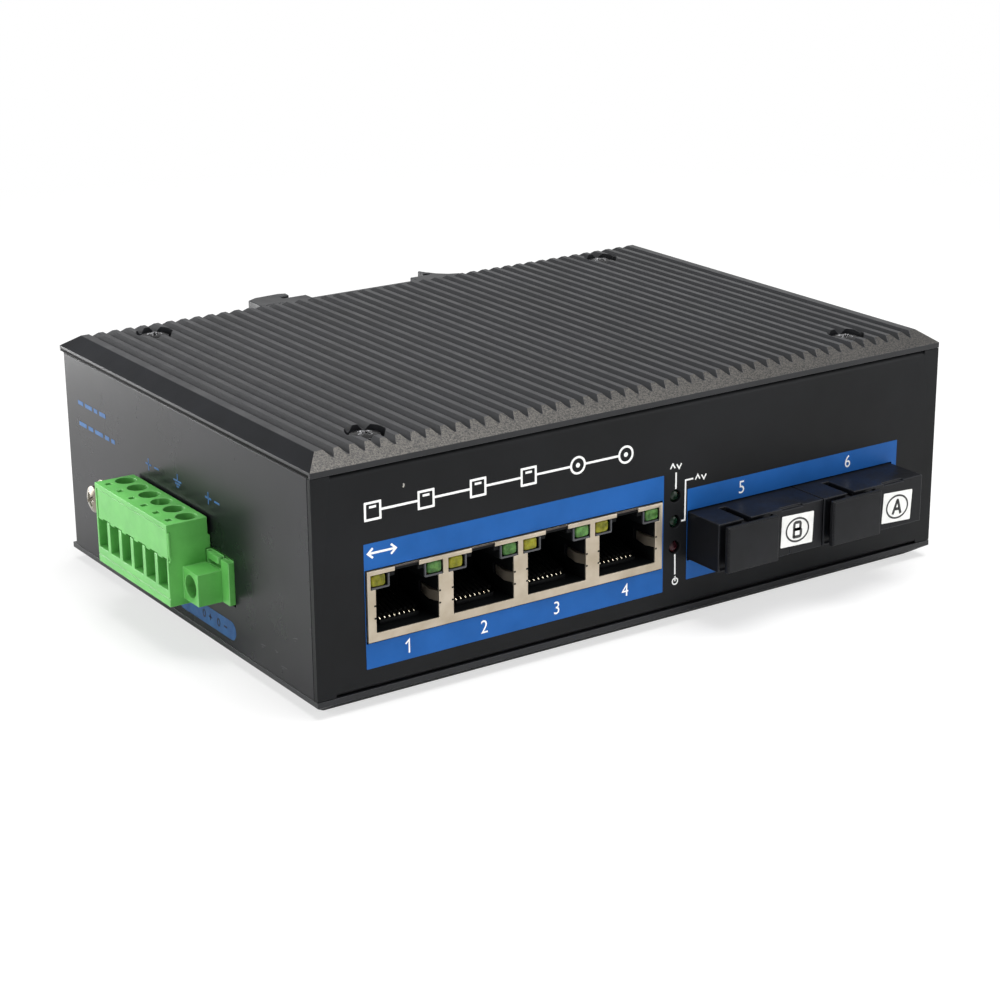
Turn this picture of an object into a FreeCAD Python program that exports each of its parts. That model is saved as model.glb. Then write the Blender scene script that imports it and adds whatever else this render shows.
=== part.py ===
"""DIN rail ethernet switch: ribbed aluminium case, four copper ports, two fibre ports.

Units are millimetres. +X runs along the long side of the case, +Y goes from the
port face to the rail side, +Z goes up. The origin is the centre of the case
footprint at the level of the base plate's underside.
"""

import FreeCAD, Part
import math
import os

os.makedirs("parts", exist_ok=True)

Vector = FreeCAD.Vector

# ---- case ---------------------------------------------------------------
LENGTH = 145.0
DEPTH = 101.5
HEIGHT = 48.0
EDGE_BAND = 1.05
BEVEL_HEIGHT = 2.40
BEVEL_SIDE = 3.15
BEVEL_FRONT = 3.80
SHEET = 1.20
FLANGE_DEPTH = 15.0
CORNER_LAND = 3.80
FOLD_RADIUS = 1.20
FOLD_GAP = 0.12

RIB_PITCH = 3.10
GROOVE_COUNT = 44
GROOVE_WIDTH = 2.05
GROOVE_FLOOR = 0.36
GROOVE_DEPTH = 1.08

SCREW_INSET_X = 16.6
SCREW_INSET_Y = 9.5
COUNTERBORE_D = 7.4
COUNTERBORE_DEPTH = 2.0
CLEARANCE_D = 3.4
THREAD_HOLE_D = 3.0
SHANK_D = 2.9
NUT_ACROSS = 5.5
NUT_HEIGHT = 2.4

# ---- board --------------------------------------------------------------
BOARD_TOP = 12.3
BOARD_THICKNESS = 1.6
BOARD_HALF_X = 70.0
BOARD_FRONT = -47.4
BOARD_BACK = 36.4
STANDOFF_X = 66.0
STANDOFF_FRONT_Y = -25.0
STANDOFF_BACK_Y = 32.8

# ---- copper port block --------------------------------------------------
PORTS = 4
PORT_PITCH = 16.1
SHIELD_LEFT = -62.1
SHIELD_WIDTH = 64.7
SHIELD_BOTTOM = 12.4
SHIELD_HEIGHT = 13.25
SHIELD_PROUD = 0.40
SHIELD_WALL = 0.35
SHIELD_DEPTH = 21.5
FIRST_PORT_X = -53.90
SOCKET_WIDTH = 13.0
SOCKET_BOTTOM = 13.98
SOCKET_SHOULDER = 22.15
LAMP_LEVEL_TOP = 24.85
LAMP_LEVEL_WIDTH = 15.0
LATCH_SLOT_WIDTH = 5.0
SOCKET_DEPTH = 13.5
CONTACTS = 8
CONTACT_PITCH = 1.02
CONTACT_WIDTH = 0.34
CONTACT_THICKNESS = 0.36

# ---- status lamps -------------------------------------------------------
LAMP_X = 5.90
LAMP_TOP_Z = 26.15
LAMP_STEP = 5.10
LAMP_D = 2.30
LAMP_HOLE_D = 2.60

# ---- fibre modules ------------------------------------------------------
MODULE_WIDTH = 25.65
MODULE_LEFT_5 = 9.10
MODULE_LEFT_6 = 35.05
MODULE_BOTTOM = 12.80
MODULE_HEIGHT = 9.60
MODULE_PROUD = 9.20
MODULE_LENGTH = 39.0
PORT_OFFSET = 6.85
PORT_CAVITY_W = 9.40
PORT_CAVITY_H = 7.50
KEY_SLOT_WIDTH = 1.70
KEY_SLOT_END = 1.60
CAP_WIDTH = 12.5
CAP_HEIGHT = 9.20
CAP_STAND_OFF = 1.15
CAP_PLATE = 1.05

# ---- power terminal -----------------------------------------------------
POLES = 6
POLE_PITCH = 5.08
PLUG_CENTRE_Y = 2.70
PLUG_PROUD = 8.85
PLUG_BOTTOM = 11.15
PLUG_TOP = 27.15
COVER_END_GAP = 0.72
HEADER_BOTTOM = 12.30
HEADER_TOP = 20.95
HEADER_HALF = 23.75
HEADER_INSIDE = 9.0
HEADER_PROUD = 1.0
FLANGE_BLOCK = 5.70
FLANGE_FACE = 5.90
FLANGE_HOLE_D = 4.40
FLANGE_HOLE_SPAN = 35.9
FLANGE_HOLE_Z = 15.45

# ---- ground screw -------------------------------------------------------
GROUND_Y = 32.95
GROUND_Z = 18.30

# ---- rail bracket -------------------------------------------------------
BRACKET_LOW = 1.9
BRACKET_HIGH = 46.1
BRACKET_REACH = 10.3

HALF_L = LENGTH / 2
HALF_D = DEPTH / 2
SEAM_LOW = EDGE_BAND + BEVEL_HEIGHT
SEAM_TOP = HEIGHT - SEAM_LOW
FRONT = -HALF_D
BACK = HALF_D
LEFT = -HALF_L
RIGHT = HALF_L
SCREW_X = HALF_L - SCREW_INSET_X
SCREW_Y = HALF_D - SCREW_INSET_Y


# ---- helpers ------------------------------------------------------------
def block(x0, x1, y0, y1, z0, z1):
    """Box between two corners."""
    return Part.makeBox(x1 - x0, y1 - y0, z1 - z0, Vector(x0, y0, z0))


def rod(diameter, start, length, direction):
    """Round bar from a start point along a direction."""
    return Part.makeCylinder(diameter / 2, length, Vector(*start), Vector(*direction))


def prism(points, along):
    """Solid made by pushing a closed outline along a vector."""
    corners = [Vector(*p) for p in points]
    corners.append(corners[0])
    face = Part.Face(Part.makePolygon(corners))
    return face.extrude(Vector(*along))


def slab_xy(points, z0, z1):
    """Flat outline in the XY plane given a height range."""
    return prism([(x, y, z0) for x, y in points], (0, 0, z1 - z0))


def slab_xz(points, y0, y1):
    """Outline in the XZ plane given a depth range."""
    return prism([(x, y0, z) for x, z in points], (0, y1 - y0, 0))


def slab_yz(points, x0, x1):
    """Outline in the YZ plane given a length range."""
    return prism([(x0, y, z) for y, z in points], (x1 - x0, 0, 0))


def hexagon(across, a, b):
    """Corners of a hexagon about a centre, from its width across flats."""
    radius = across / math.sqrt(3)
    turns = [math.radians(60 * k) for k in range(6)]
    return [(a + radius * math.cos(t), b + radius * math.sin(t)) for t in turns]


def screw_corners():
    """The four case screw positions."""
    spots = []
    for x in (-SCREW_X, SCREW_X):
        for y in (-SCREW_Y, SCREW_Y):
            spots.append((x, y))
    return spots


def standoff_spots():
    """Where the circuit board is held."""
    spots = []
    for x in (-STANDOFF_X, STANDOFF_X):
        for y in (STANDOFF_FRONT_Y, STANDOFF_BACK_Y):
            spots.append((x, y))
    return spots


def port_centre(number):
    """X of the middle of a copper port, counted from nought."""
    return FIRST_PORT_X + PORT_PITCH * number


def pole_y(number):
    """Y of a terminal pole, counted from nought at the port-face end."""
    first = PLUG_CENTRE_Y - POLE_PITCH * (POLES - 1) / 2
    return first + POLE_PITCH * number


def cross_recess(centre, depth, direction):
    """Two crossed slots for a screwdriver, cut from a head along Z."""
    x, y, z = centre
    low = min(z, z + depth * direction)
    high = max(z, z + depth * direction)
    one = block(x - 1.45, x + 1.45, y - 0.32, y + 0.32, low, high)
    two = block(x - 0.32, x + 0.32, y - 1.45, y + 1.45, low, high)
    return one.fuse(two)


def case_screw(x, y, seat, up):
    """Pan head screw; the head sits on a seat and faces up (+1) or down (-1)."""
    head = rod(5.7, (x, y, seat), 1.15 * up if up > 0 else 1.15, (0, 0, up))
    base = Vector(x, y, seat + 1.15 * up)
    dome = Part.makeCone(2.85, 1.95, 0.45, base, Vector(0, 0, up))
    shank = rod(SHANK_D, (x, y, seat), 6.2, (0, 0, -up))
    body = head.fuse([dome, shank])
    return body.cut(cross_recess((x, y, seat + 1.61 * up), 1.0, -up))


# ---- case parts ---------------------------------------------------------
def heatsink_cover():
    """Ribbed top plate with blasted end chamfers and four counterbores."""
    top_half = HALF_L - BEVEL_SIDE
    outline = [(-HALF_L, SEAM_TOP), (-HALF_L, SEAM_TOP + EDGE_BAND), (-top_half, HEIGHT)]
    for i in range(GROOVE_COUNT):
        middle = (i - (GROOVE_COUNT - 1) / 2) * RIB_PITCH
        outline.append((middle - GROOVE_WIDTH / 2, HEIGHT))
        outline.append((middle - GROOVE_FLOOR / 2, HEIGHT - GROOVE_DEPTH))
        outline.append((middle + GROOVE_FLOOR / 2, HEIGHT - GROOVE_DEPTH))
        outline.append((middle + GROOVE_WIDTH / 2, HEIGHT))
    outline.append((top_half, HEIGHT))
    outline.append((HALF_L, SEAM_TOP + EDGE_BAND))
    outline.append((HALF_L, SEAM_TOP))
    plate = slab_xz(outline, FRONT, BACK)
    for side in (-1, 1):
        edge = side * HALF_D
        wedge = [(edge, SEAM_TOP + EDGE_BAND), (edge, HEIGHT + 1.0)]
        wedge.append((edge - side * BEVEL_FRONT * (1 + 1.0 / BEVEL_HEIGHT), HEIGHT + 1.0))
        plate = plate.cut(slab_yz(wedge, LEFT - 1, RIGHT + 1))
    holes = []
    for x, y in screw_corners():
        floor = HEIGHT - COUNTERBORE_DEPTH
        holes.append(rod(COUNTERBORE_D, (x, y, floor), COUNTERBORE_DEPTH + 1, (0, 0, 1)))
        holes.append(rod(CLEARANCE_D, (x, y, SEAM_TOP - 1), 4, (0, 0, 1)))
    return plate.cut(holes)


def base_plate():
    """Plain bottom plate, bevelled all round, with counterbores underneath."""
    lower = []
    upper = []
    for sx, sy in ((-1, -1), (1, -1), (1, 1), (-1, 1)):
        lower.append(Vector(sx * (HALF_L - BEVEL_SIDE), sy * (HALF_D - BEVEL_FRONT), 0))
        upper.append(Vector(sx * HALF_L, sy * HALF_D, BEVEL_HEIGHT))
    lower.append(lower[0])
    upper.append(upper[0])
    wires = [Part.makePolygon(lower), Part.makePolygon(upper)]
    tray = Part.makeLoft(wires, True, True)
    plate = tray.fuse(block(LEFT, RIGHT, FRONT, BACK, BEVEL_HEIGHT, SEAM_LOW)).removeSplitter()
    holes = []
    for x, y in screw_corners():
        holes.append(rod(COUNTERBORE_D, (x, y, -1), COUNTERBORE_DEPTH + 1, (0, 0, 1)))
        holes.append(rod(CLEARANCE_D, (x, y, 1), 4, (0, 0, 1)))
    for x, y in standoff_spots():
        holes.append(rod(THREAD_HOLE_D, (x, y, -1), 6, (0, 0, 1)))
    return plate.cut(holes)


def folded_edges(face_y, inward, low_x, high_x):
    """Outline of a sheet seen from its end, folded inward at top and bottom."""
    top = SEAM_TOP - FOLD_GAP
    low = SEAM_LOW + FOLD_GAP
    tail = face_y + inward * FLANGE_DEPTH
    inner = face_y + inward * SHEET
    outline = []
    for step in range(5):
        turn = math.radians(90 * step / 4)
        y = face_y + inward * (FOLD_RADIUS - FOLD_RADIUS * math.cos(turn))
        z = top - FOLD_RADIUS + FOLD_RADIUS * math.sin(turn)
        outline.append((y, z))
    outline.append((tail, top))
    outline.append((tail, top - SHEET))
    outline.append((inner + inward * 0.4, top - SHEET))
    outline.append((inner, top - SHEET - 0.4))
    outline.append((inner, low + SHEET + 0.4))
    outline.append((inner + inward * 0.4, low + SHEET))
    outline.append((tail, low + SHEET))
    outline.append((tail, low))
    for step in range(5):
        turn = math.radians(90 * (4 - step) / 4)
        y = face_y + inward * (FOLD_RADIUS - FOLD_RADIUS * math.cos(turn))
        z = low + FOLD_RADIUS - FOLD_RADIUS * math.sin(turn)
        outline.append((y, z))
    return slab_yz(outline, low_x, high_x)


def front_panel():
    """Port-face sheet with folded top and bottom flanges."""
    folded = folded_edges(FRONT, 1, LEFT + CORNER_LAND, RIGHT - CORNER_LAND)
    left_land = block(LEFT, LEFT + CORNER_LAND, FRONT, FRONT + SHEET, SEAM_LOW + 0.1, SEAM_TOP - 0.1)
    right_land = left_land.copy()
    right_land.translate(Vector(LENGTH - CORNER_LAND, 0, 0))
    panel = folded.fuse([left_land, right_land])
    cuts = []
    y0 = FRONT - 1
    y1 = FRONT + SHEET + 1
    gap = 0.25
    shield_right = SHIELD_LEFT + SHIELD_WIDTH
    shield_top = SHIELD_BOTTOM + SHIELD_HEIGHT
    cuts.append(block(SHIELD_LEFT - gap, shield_right + gap, y0, y1, SHIELD_BOTTOM - gap, shield_top + gap))
    module_right = MODULE_LEFT_6 + MODULE_WIDTH
    module_top = MODULE_BOTTOM + MODULE_HEIGHT
    cuts.append(block(MODULE_LEFT_5 - gap, module_right + gap, y0, y1, MODULE_BOTTOM - gap, module_top + gap))
    for i in range(3):
        z = LAMP_TOP_Z - LAMP_STEP * i
        cuts.append(rod(LAMP_HOLE_D, (LAMP_X, y0, z), 3.5, (0, 1, 0)))
    for x in (-SCREW_X, SCREW_X):
        cuts.append(rod(CLEARANCE_D + 1.0, (x, -SCREW_Y, SEAM_LOW - 1), 4, (0, 0, 1)))
        cuts.append(rod(CLEARANCE_D + 1.0, (x, -SCREW_Y, SEAM_TOP - 3), 4, (0, 0, 1)))
    return panel.cut(cuts)


def rear_wrap():
    """Side and rear walls folded from one sheet, flanged along the back."""
    start = FRONT + SHEET + 0.08
    r = 1.8
    outer = [(LEFT, start), (LEFT, BACK - r)]
    outer.append((LEFT + r * 0.293, BACK - r * 0.293))
    outer.append((LEFT + r, BACK))
    outer.append((RIGHT - r, BACK))
    outer.append((RIGHT - r * 0.293, BACK - r * 0.293))
    outer.append((RIGHT, BACK - r))
    outer.append((RIGHT, start))
    outer.append((RIGHT - SHEET, start))
    outer.append((RIGHT - SHEET, BACK - r))
    outer.append((RIGHT - r, BACK - SHEET))
    outer.append((LEFT + r, BACK - SHEET))
    outer.append((LEFT + SHEET, BACK - r))
    outer.append((LEFT + SHEET, start))
    wall = slab_xy(outer, SEAM_LOW + 0.1, SEAM_TOP - 0.1)
    flange_x = HALF_L - 6.0
    inner = BACK - SHEET
    low = block(-flange_x, flange_x, BACK - FLANGE_DEPTH, inner, SEAM_LOW + FOLD_GAP, SEAM_LOW + FOLD_GAP + SHEET)
    high = block(-flange_x, flange_x, BACK - FLANGE_DEPTH, inner, SEAM_TOP - FOLD_GAP - SHEET, SEAM_TOP - FOLD_GAP)
    wrap = wall.fuse([low, high])
    cuts = []
    y0 = PLUG_CENTRE_Y - HEADER_HALF - 0.3
    y1 = PLUG_CENTRE_Y + HEADER_HALF + 0.3
    cuts.append(block(LEFT - 1, LEFT + SHEET + 1, y0, y1, HEADER_BOTTOM - 0.3, HEADER_TOP + 0.3))
    cuts.append(rod(3.3, (LEFT - 1, GROUND_Y, GROUND_Z), 4, (1, 0, 0)))
    for x, z in bracket_screw_spots():
        cuts.append(rod(THREAD_HOLE_D, (x, BACK - 3, z), 5, (0, 1, 0)))
    for x in (-SCREW_X, SCREW_X):
        cuts.append(rod(CLEARANCE_D + 1.0, (x, SCREW_Y, SEAM_LOW - 1), 4, (0, 0, 1)))
        cuts.append(rod(CLEARANCE_D + 1.0, (x, SCREW_Y, SEAM_TOP - 3), 4, (0, 0, 1)))
    return wrap.cut(cuts)


def press_nuts():
    """Eight hexagon press nuts, two on every flange."""
    nuts = []
    for x, y in screw_corners():
        for face, way in ((SEAM_TOP - FOLD_GAP - SHEET, -1), (SEAM_LOW + FOLD_GAP + SHEET, 1)):
            nut = slab_xy(hexagon(NUT_ACROSS, x, y), face, face + NUT_HEIGHT * way)
            bore = rod(THREAD_HOLE_D, (x, y, face - 3), 6, (0, 0, 1))
            nuts.append(nut.cut(bore))
    return Part.makeCompound(nuts)


def cover_screws():
    """Four screws sunk in the top plate."""
    seat = HEIGHT - COUNTERBORE_DEPTH
    return Part.makeCompound([case_screw(x, y, seat, 1) for x, y in screw_corners()])


def base_screws():
    """Four screws sunk in the bottom plate."""
    seat = COUNTERBORE_DEPTH
    return Part.makeCompound([case_screw(x, y, seat, -1) for x, y in screw_corners()])


# ---- board --------------------------------------------------------------
def main_board():
    """Circuit board with rounded corners and four fixing holes."""
    low = BOARD_TOP - BOARD_THICKNESS
    board = block(-BOARD_HALF_X, BOARD_HALF_X, BOARD_FRONT, BOARD_BACK, low, BOARD_TOP)
    corners = [e for e in board.Edges if abs(e.Vertexes[0].Z - e.Vertexes[1].Z) > 1]
    board = board.makeFillet(2.0, corners)
    holes = [rod(CLEARANCE_D, (x, y, 0), 20, (0, 0, 1)) for x, y in standoff_spots()]
    return board.cut(holes)


def board_standoffs():
    """Four hexagon spacers pressed into the bottom plate."""
    low = BOARD_TOP - BOARD_THICKNESS
    posts = []
    for x, y in standoff_spots():
        post = slab_xy(hexagon(NUT_ACROSS, x, y), SEAM_LOW, low)
        spigot = rod(SHANK_D, (x, y, SEAM_LOW - 2.6), 2.6, (0, 0, 1))
        bore = rod(THREAD_HOLE_D, (x, y, low - 5.5), 6, (0, 0, 1))
        posts.append(post.fuse(spigot).cut(bore))
    return Part.makeCompound(posts)


def board_screws():
    """Screws that hold the board on its spacers."""
    screws = []
    for x, y in standoff_spots():
        head = Part.makeCone(2.7, 2.0, 1.5, Vector(x, y, BOARD_TOP), Vector(0, 0, 1))
        shank = rod(SHANK_D, (x, y, BOARD_TOP - 6.0), 6.0, (0, 0, 1))
        body = head.fuse(shank)
        screws.append(body.cut(cross_recess((x, y, BOARD_TOP + 1.51), 0.8, -1)))
    return Part.makeCompound(screws)


def switch_chip():
    """Square switching chip with a moulded edge."""
    lower = block(3.0, 23.0, -2.0, 18.0, BOARD_TOP, BOARD_TOP + 0.7)
    upper = block(3.25, 22.75, -1.75, 17.75, BOARD_TOP + 0.7, BOARD_TOP + 1.4)
    return lower.fuse(upper)


def chip_heatsink():
    """Small finned cooler bonded to the switching chip."""
    foot = BOARD_TOP + 1.4
    cooler = block(2.0, 24.0, -3.0, 19.0, foot, foot + 9.0)
    slots = []
    for i in range(6):
        x = 4.6 + 3.2 * i
        slots.append(block(x, x + 1.9, -4.0, 20.0, foot + 2.2, foot + 10.0))
    return cooler.cut(slots)


def fibre_driver_chips():
    """Two small driver chips behind the fibre modules."""
    chips = []
    for left in (MODULE_LEFT_5, MODULE_LEFT_6):
        x = left + MODULE_WIDTH / 2
        chips.append(block(x - 4.5, x + 4.5, -14.5, -8.0, BOARD_TOP, BOARD_TOP + 1.2))
    return Part.makeCompound(chips)


def power_inductor():
    """Square shielded coil with a round core face."""
    base = block(-50.5, -38.5, -10.0, 2.0, BOARD_TOP, BOARD_TOP + 6.0)
    edges = [e for e in base.Edges if abs(e.Vertexes[0].Z - e.Vertexes[1].Z) > 1]
    base = base.makeChamfer(1.6, edges)
    ring = rod(9.6, (-44.5, -4.0, BOARD_TOP + 5.4), 2.0, (0, 0, 1))
    core = rod(8.2, (-44.5, -4.0, BOARD_TOP + 5.0), 2.0, (0, 0, 1))
    return base.cut(ring.cut(core))


def smoothing_capacitors():
    """Three standing electrolytic cans."""
    cans = []
    for i in range(3):
        x = -48.0 + 12.0 * i
        base = block(x - 5.0, x + 5.0, 15.0, 25.0, BOARD_TOP, BOARD_TOP + 1.0)
        can = rod(9.4, (x, 20.0, BOARD_TOP + 1.0), 11.0, (0, 0, 1))
        cans.append(base.fuse(can))
    return Part.makeCompound(cans)


# ---- copper ports -------------------------------------------------------
def socket_outline(middle, spread):
    """Stepped outline of one copper port in the XZ plane."""
    w = SOCKET_WIDTH / 2 + spread
    lamp = LAMP_LEVEL_WIDTH / 2
    slot = LATCH_SLOT_WIDTH / 2
    top = SHIELD_BOTTOM + SHIELD_HEIGHT
    outline = [(middle - w, SOCKET_BOTTOM), (middle + w, SOCKET_BOTTOM)]
    outline.append((middle + w, SOCKET_SHOULDER))
    outline.append((middle + lamp, SOCKET_SHOULDER))
    outline.append((middle + lamp, LAMP_LEVEL_TOP))
    outline.append((middle + slot, LAMP_LEVEL_TOP))
    outline.append((middle + slot, top + 0.5))
    outline.append((middle - slot, top + 0.5))
    outline.append((middle - slot, LAMP_LEVEL_TOP))
    outline.append((middle - lamp, LAMP_LEVEL_TOP))
    outline.append((middle - lamp, SOCKET_SHOULDER))
    outline.append((middle - w, SOCKET_SHOULDER))
    return outline


def rj45_shield():
    """Folded metal can round the four copper ports, with side springs."""
    x0 = SHIELD_LEFT
    x1 = SHIELD_LEFT + SHIELD_WIDTH
    y0 = FRONT - SHIELD_PROUD
    y1 = y0 + SHIELD_DEPTH
    z0 = SHIELD_BOTTOM
    z1 = SHIELD_BOTTOM + SHIELD_HEIGHT
    t = SHIELD_WALL
    can = block(x0, x1, y0, y1, z0, z1)
    can = can.cut(block(x0 + t, x1 - t, y0 + t, y1 - t, z0 - 1, z1 - t))
    cuts = []
    for i in range(PORTS):
        cuts.append(slab_xz(socket_outline(port_centre(i), 0.0), y0 - 1, y0 + t + 0.01))
    can = can.cut(cuts)
    springs = []
    for i in range(PORTS):
        for side in (-1, 1):
            edge = port_centre(i) + side * SOCKET_WIDTH / 2
            lip = edge - side * 0.75
            profile = [(edge, y0), (edge, y0 + t), (lip, y0 + 2.2), (edge, y0 + 6.0)]
            profile.append((edge + side * 0.3, y0 + 6.0))
            profile.append((edge + side * 0.3, y0))
            springs.append(slab_xy(profile, 17.0, 18.9))
    return can.fuse(springs)


def rj45_housing():
    """Moulded insulator behind the shield with four stepped cavities."""
    t = SHIELD_WALL
    y0 = FRONT - SHIELD_PROUD + t
    y1 = FRONT - SHIELD_PROUD + SHIELD_DEPTH - t
    x0 = SHIELD_LEFT + t
    x1 = SHIELD_LEFT + SHIELD_WIDTH - t
    z1 = SHIELD_BOTTOM + SHIELD_HEIGHT - t
    body = block(x0, x1, y0, y1, BOARD_TOP, z1)
    cuts = []
    for i in range(PORTS):
        m = port_centre(i)
        back = y0 + SOCKET_DEPTH
        w = SOCKET_WIDTH / 2
        cuts.append(block(m - w, m + w, y0 - 1, back, SOCKET_BOTTOM, SOCKET_SHOULDER))
        cuts.append(block(m - 3.6, m + 3.6, y0 - 1, back, SOCKET_SHOULDER - 1, LAMP_LEVEL_TOP - 0.9))
        cuts.append(block(m - 2.4, m + 2.4, y0 - 1, back, SOCKET_SHOULDER - 1, LAMP_LEVEL_TOP))
        for side in (-1, 1):
            a = m + side * 3.9
            b = m + side * 7.35
            lamp = block(min(a, b), max(a, b), y0 - 1, y0 + 4.0, SOCKET_SHOULDER + 0.35, LAMP_LEVEL_TOP)
            cuts.append(lamp)
            inner = m + side * w
            outer = m + side * (w + 0.45)
            cuts.append(block(min(inner, outer), max(inner, outer), y0 - 1, y0 + 6.4, 16.9, 19.0))
    return body.cut(cuts)


def rj45_contacts():
    """Eight sprung contact wires in each copper port."""
    y0 = FRONT - SHIELD_PROUD + SHIELD_WALL
    wires = []
    for i in range(PORTS):
        for k in range(CONTACTS):
            x = port_centre(i) + (k - (CONTACTS - 1) / 2) * CONTACT_PITCH
            side = [(y0 + 3.3, SOCKET_BOTTOM), (y0 + 3.3 + CONTACT_THICKNESS, SOCKET_BOTTOM)]
            side.append((y0 + 4.0, SOCKET_BOTTOM + 0.75))
            side.append((y0 + SOCKET_DEPTH, SOCKET_BOTTOM + 3.6))
            side.append((y0 + SOCKET_DEPTH, SOCKET_BOTTOM + 3.6 + CONTACT_THICKNESS))
            side.append((y0 + 3.3, SOCKET_BOTTOM + 0.92))
            wires.append(slab_yz(side, x - CONTACT_WIDTH / 2, x + CONTACT_WIDTH / 2))
    return Part.makeCompound(wires)


def port_lamps(side):
    """Four small rectangular lamp windows, on one side of every port."""
    y0 = FRONT - SHIELD_PROUD + SHIELD_WALL
    lamps = []
    for i in range(PORTS):
        a = port_centre(i) + side * 4.35
        b = port_centre(i) + side * 7.30
        low = SOCKET_SHOULDER + 0.42
        high = LAMP_LEVEL_TOP - 0.06
        lens = block(min(a, b), max(a, b), y0 - 0.25, y0 + 4.0, low, high)
        front = [e for e in lens.Edges if abs(e.BoundBox.YMin - (y0 - 0.25)) < 1e-6 and e.BoundBox.YLength < 1e-6]
        lamps.append(lens.makeChamfer(0.2, front))
    return Part.makeCompound(lamps)


# ---- status lamps -------------------------------------------------------
def lamp_holder():
    """Moulded tower that carries the three status lamps on the board."""
    tower = block(LAMP_X - 1.95, LAMP_X + 1.95, BOARD_FRONT, BOARD_FRONT + 6.0, BOARD_TOP, 28.4)
    foot = block(LAMP_X - 1.95, LAMP_X + 1.95, BOARD_FRONT, BOARD_FRONT + 9.0, BOARD_TOP, BOARD_TOP + 2.0)
    tower = tower.fuse(foot).removeSplitter()
    seats = []
    for i in range(3):
        z = LAMP_TOP_Z - LAMP_STEP * i
        seats.append(rod(LAMP_D + 0.1, (LAMP_X, BOARD_FRONT - 1, z), 4.0, (0, 1, 0)))
    return tower.cut(seats)


def status_lamp(number):
    """One round lamp with a domed end just inside the panel face."""
    z = LAMP_TOP_Z - LAMP_STEP * number
    tip = FRONT + 0.15
    radius = LAMP_D / 2
    flare = 0.55
    barrel = rod(LAMP_D, (LAMP_X, tip + flare, z), BOARD_FRONT + 3.0 - tip - flare, (0, 1, 0))
    nose = Part.makeCone(radius, radius * 0.55, flare, Vector(LAMP_X, tip + flare, z), Vector(0, -1, 0))
    return barrel.fuse(nose)


# ---- fibre modules ------------------------------------------------------
def fibre_transceiver(left):
    """Moulded fibre module with one port on its left half."""
    nose = FRONT - MODULE_PROUD
    tail = nose + MODULE_LENGTH
    right = left + MODULE_WIDTH
    low = MODULE_BOTTOM
    high = MODULE_BOTTOM + MODULE_HEIGHT
    body = block(left, right, nose, tail, low, high)
    step = block(left - 1, right + 1, tail - 6.0, tail + 1, high - 1.2, high + 1)
    cuts = [step]
    middle = left + PORT_OFFSET
    centre = (low + high) / 2
    half = PORT_CAVITY_W / 2
    tall = PORT_CAVITY_H / 2
    cuts.append(block(middle - half, middle + half, nose - 1, nose + 14.0, centre - tall, centre + tall))
    key = KEY_SLOT_WIDTH / 2
    cuts.append(block(middle - key, middle + key, nose - 1, nose + MODULE_PROUD - KEY_SLOT_END, centre, high + 1))
    rebate_right = middle + CAP_WIDTH / 2
    cuts.append(block(left + 0.45, rebate_right, nose - 1, nose + 0.5, low + 0.4, high - 0.45))
    slot = left + MODULE_WIDTH * 0.60
    cuts.append(block(slot, slot + 5.2, nose - 1, nose + 0.9, high - 0.4, high + 1))
    cuts.append(block(left + 17.5, left + 17.75, nose - 1, nose + 0.2, low - 1, low + 2.0))
    legs = []
    for x in (left + 2.2, right - 2.2):
        for y in (FRONT + 8.0, tail - 4.0):
            legs.append(block(x - 1.2, x + 1.2, y - 1.2, y + 1.2, BOARD_TOP, low + 0.1))
    return body.cut(cuts).fuse(legs)


def fibre_sleeve(left):
    """Ceramic alignment sleeve inside a fibre port."""
    nose = FRONT - MODULE_PROUD
    x = left + PORT_OFFSET
    z = MODULE_BOTTOM + MODULE_HEIGHT / 2
    tube = rod(3.2, (x, nose + 6.5, z), 7.5, (0, 1, 0))
    return tube.cut(rod(2.5, (x, nose + 5, z), 8, (0, 1, 0)))


def dust_cap(left):
    """Soft cap: a flat pull plate on a neck that fills the fibre port."""
    nose = FRONT - MODULE_PROUD
    x = left + PORT_OFFSET
    z = MODULE_BOTTOM + MODULE_HEIGHT / 2
    w = CAP_WIDTH / 2
    h = CAP_HEIGHT / 2
    face = nose - CAP_STAND_OFF - CAP_PLATE
    plate = block(x - w, x + w, face, face + CAP_PLATE, z - h, z + h)
    front = [e for e in plate.Edges if e.BoundBox.YLength < 1e-6 and abs(e.BoundBox.YMin - face) < 1e-6]
    plate = plate.makeChamfer(0.25, front)
    neck = block(x - 4.9, x + 4.9, face + CAP_PLATE, nose + 0.5, z - 3.6, z + 3.6)
    plug = block(x - 4.5, x + 4.5, nose + 0.4, nose + 9.0, z - 3.55, z + 3.55)
    bore = rod(3.6, (x, nose + 3.0, z), 8.0, (0, 1, 0))
    return plate.fuse([neck, plug]).cut(bore)


def port_label(left, offset, low, tilt):
    """Thin paper square stuck on the face of a fibre module."""
    nose = FRONT - MODULE_PROUD
    x = left + offset
    sheet = block(x, x + 8.1, nose - 0.12, nose, low, low + 6.3)
    sheet.rotate(Vector(x + 4, nose, low + 3), Vector(0, 1, 0), tilt)
    return sheet


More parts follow.
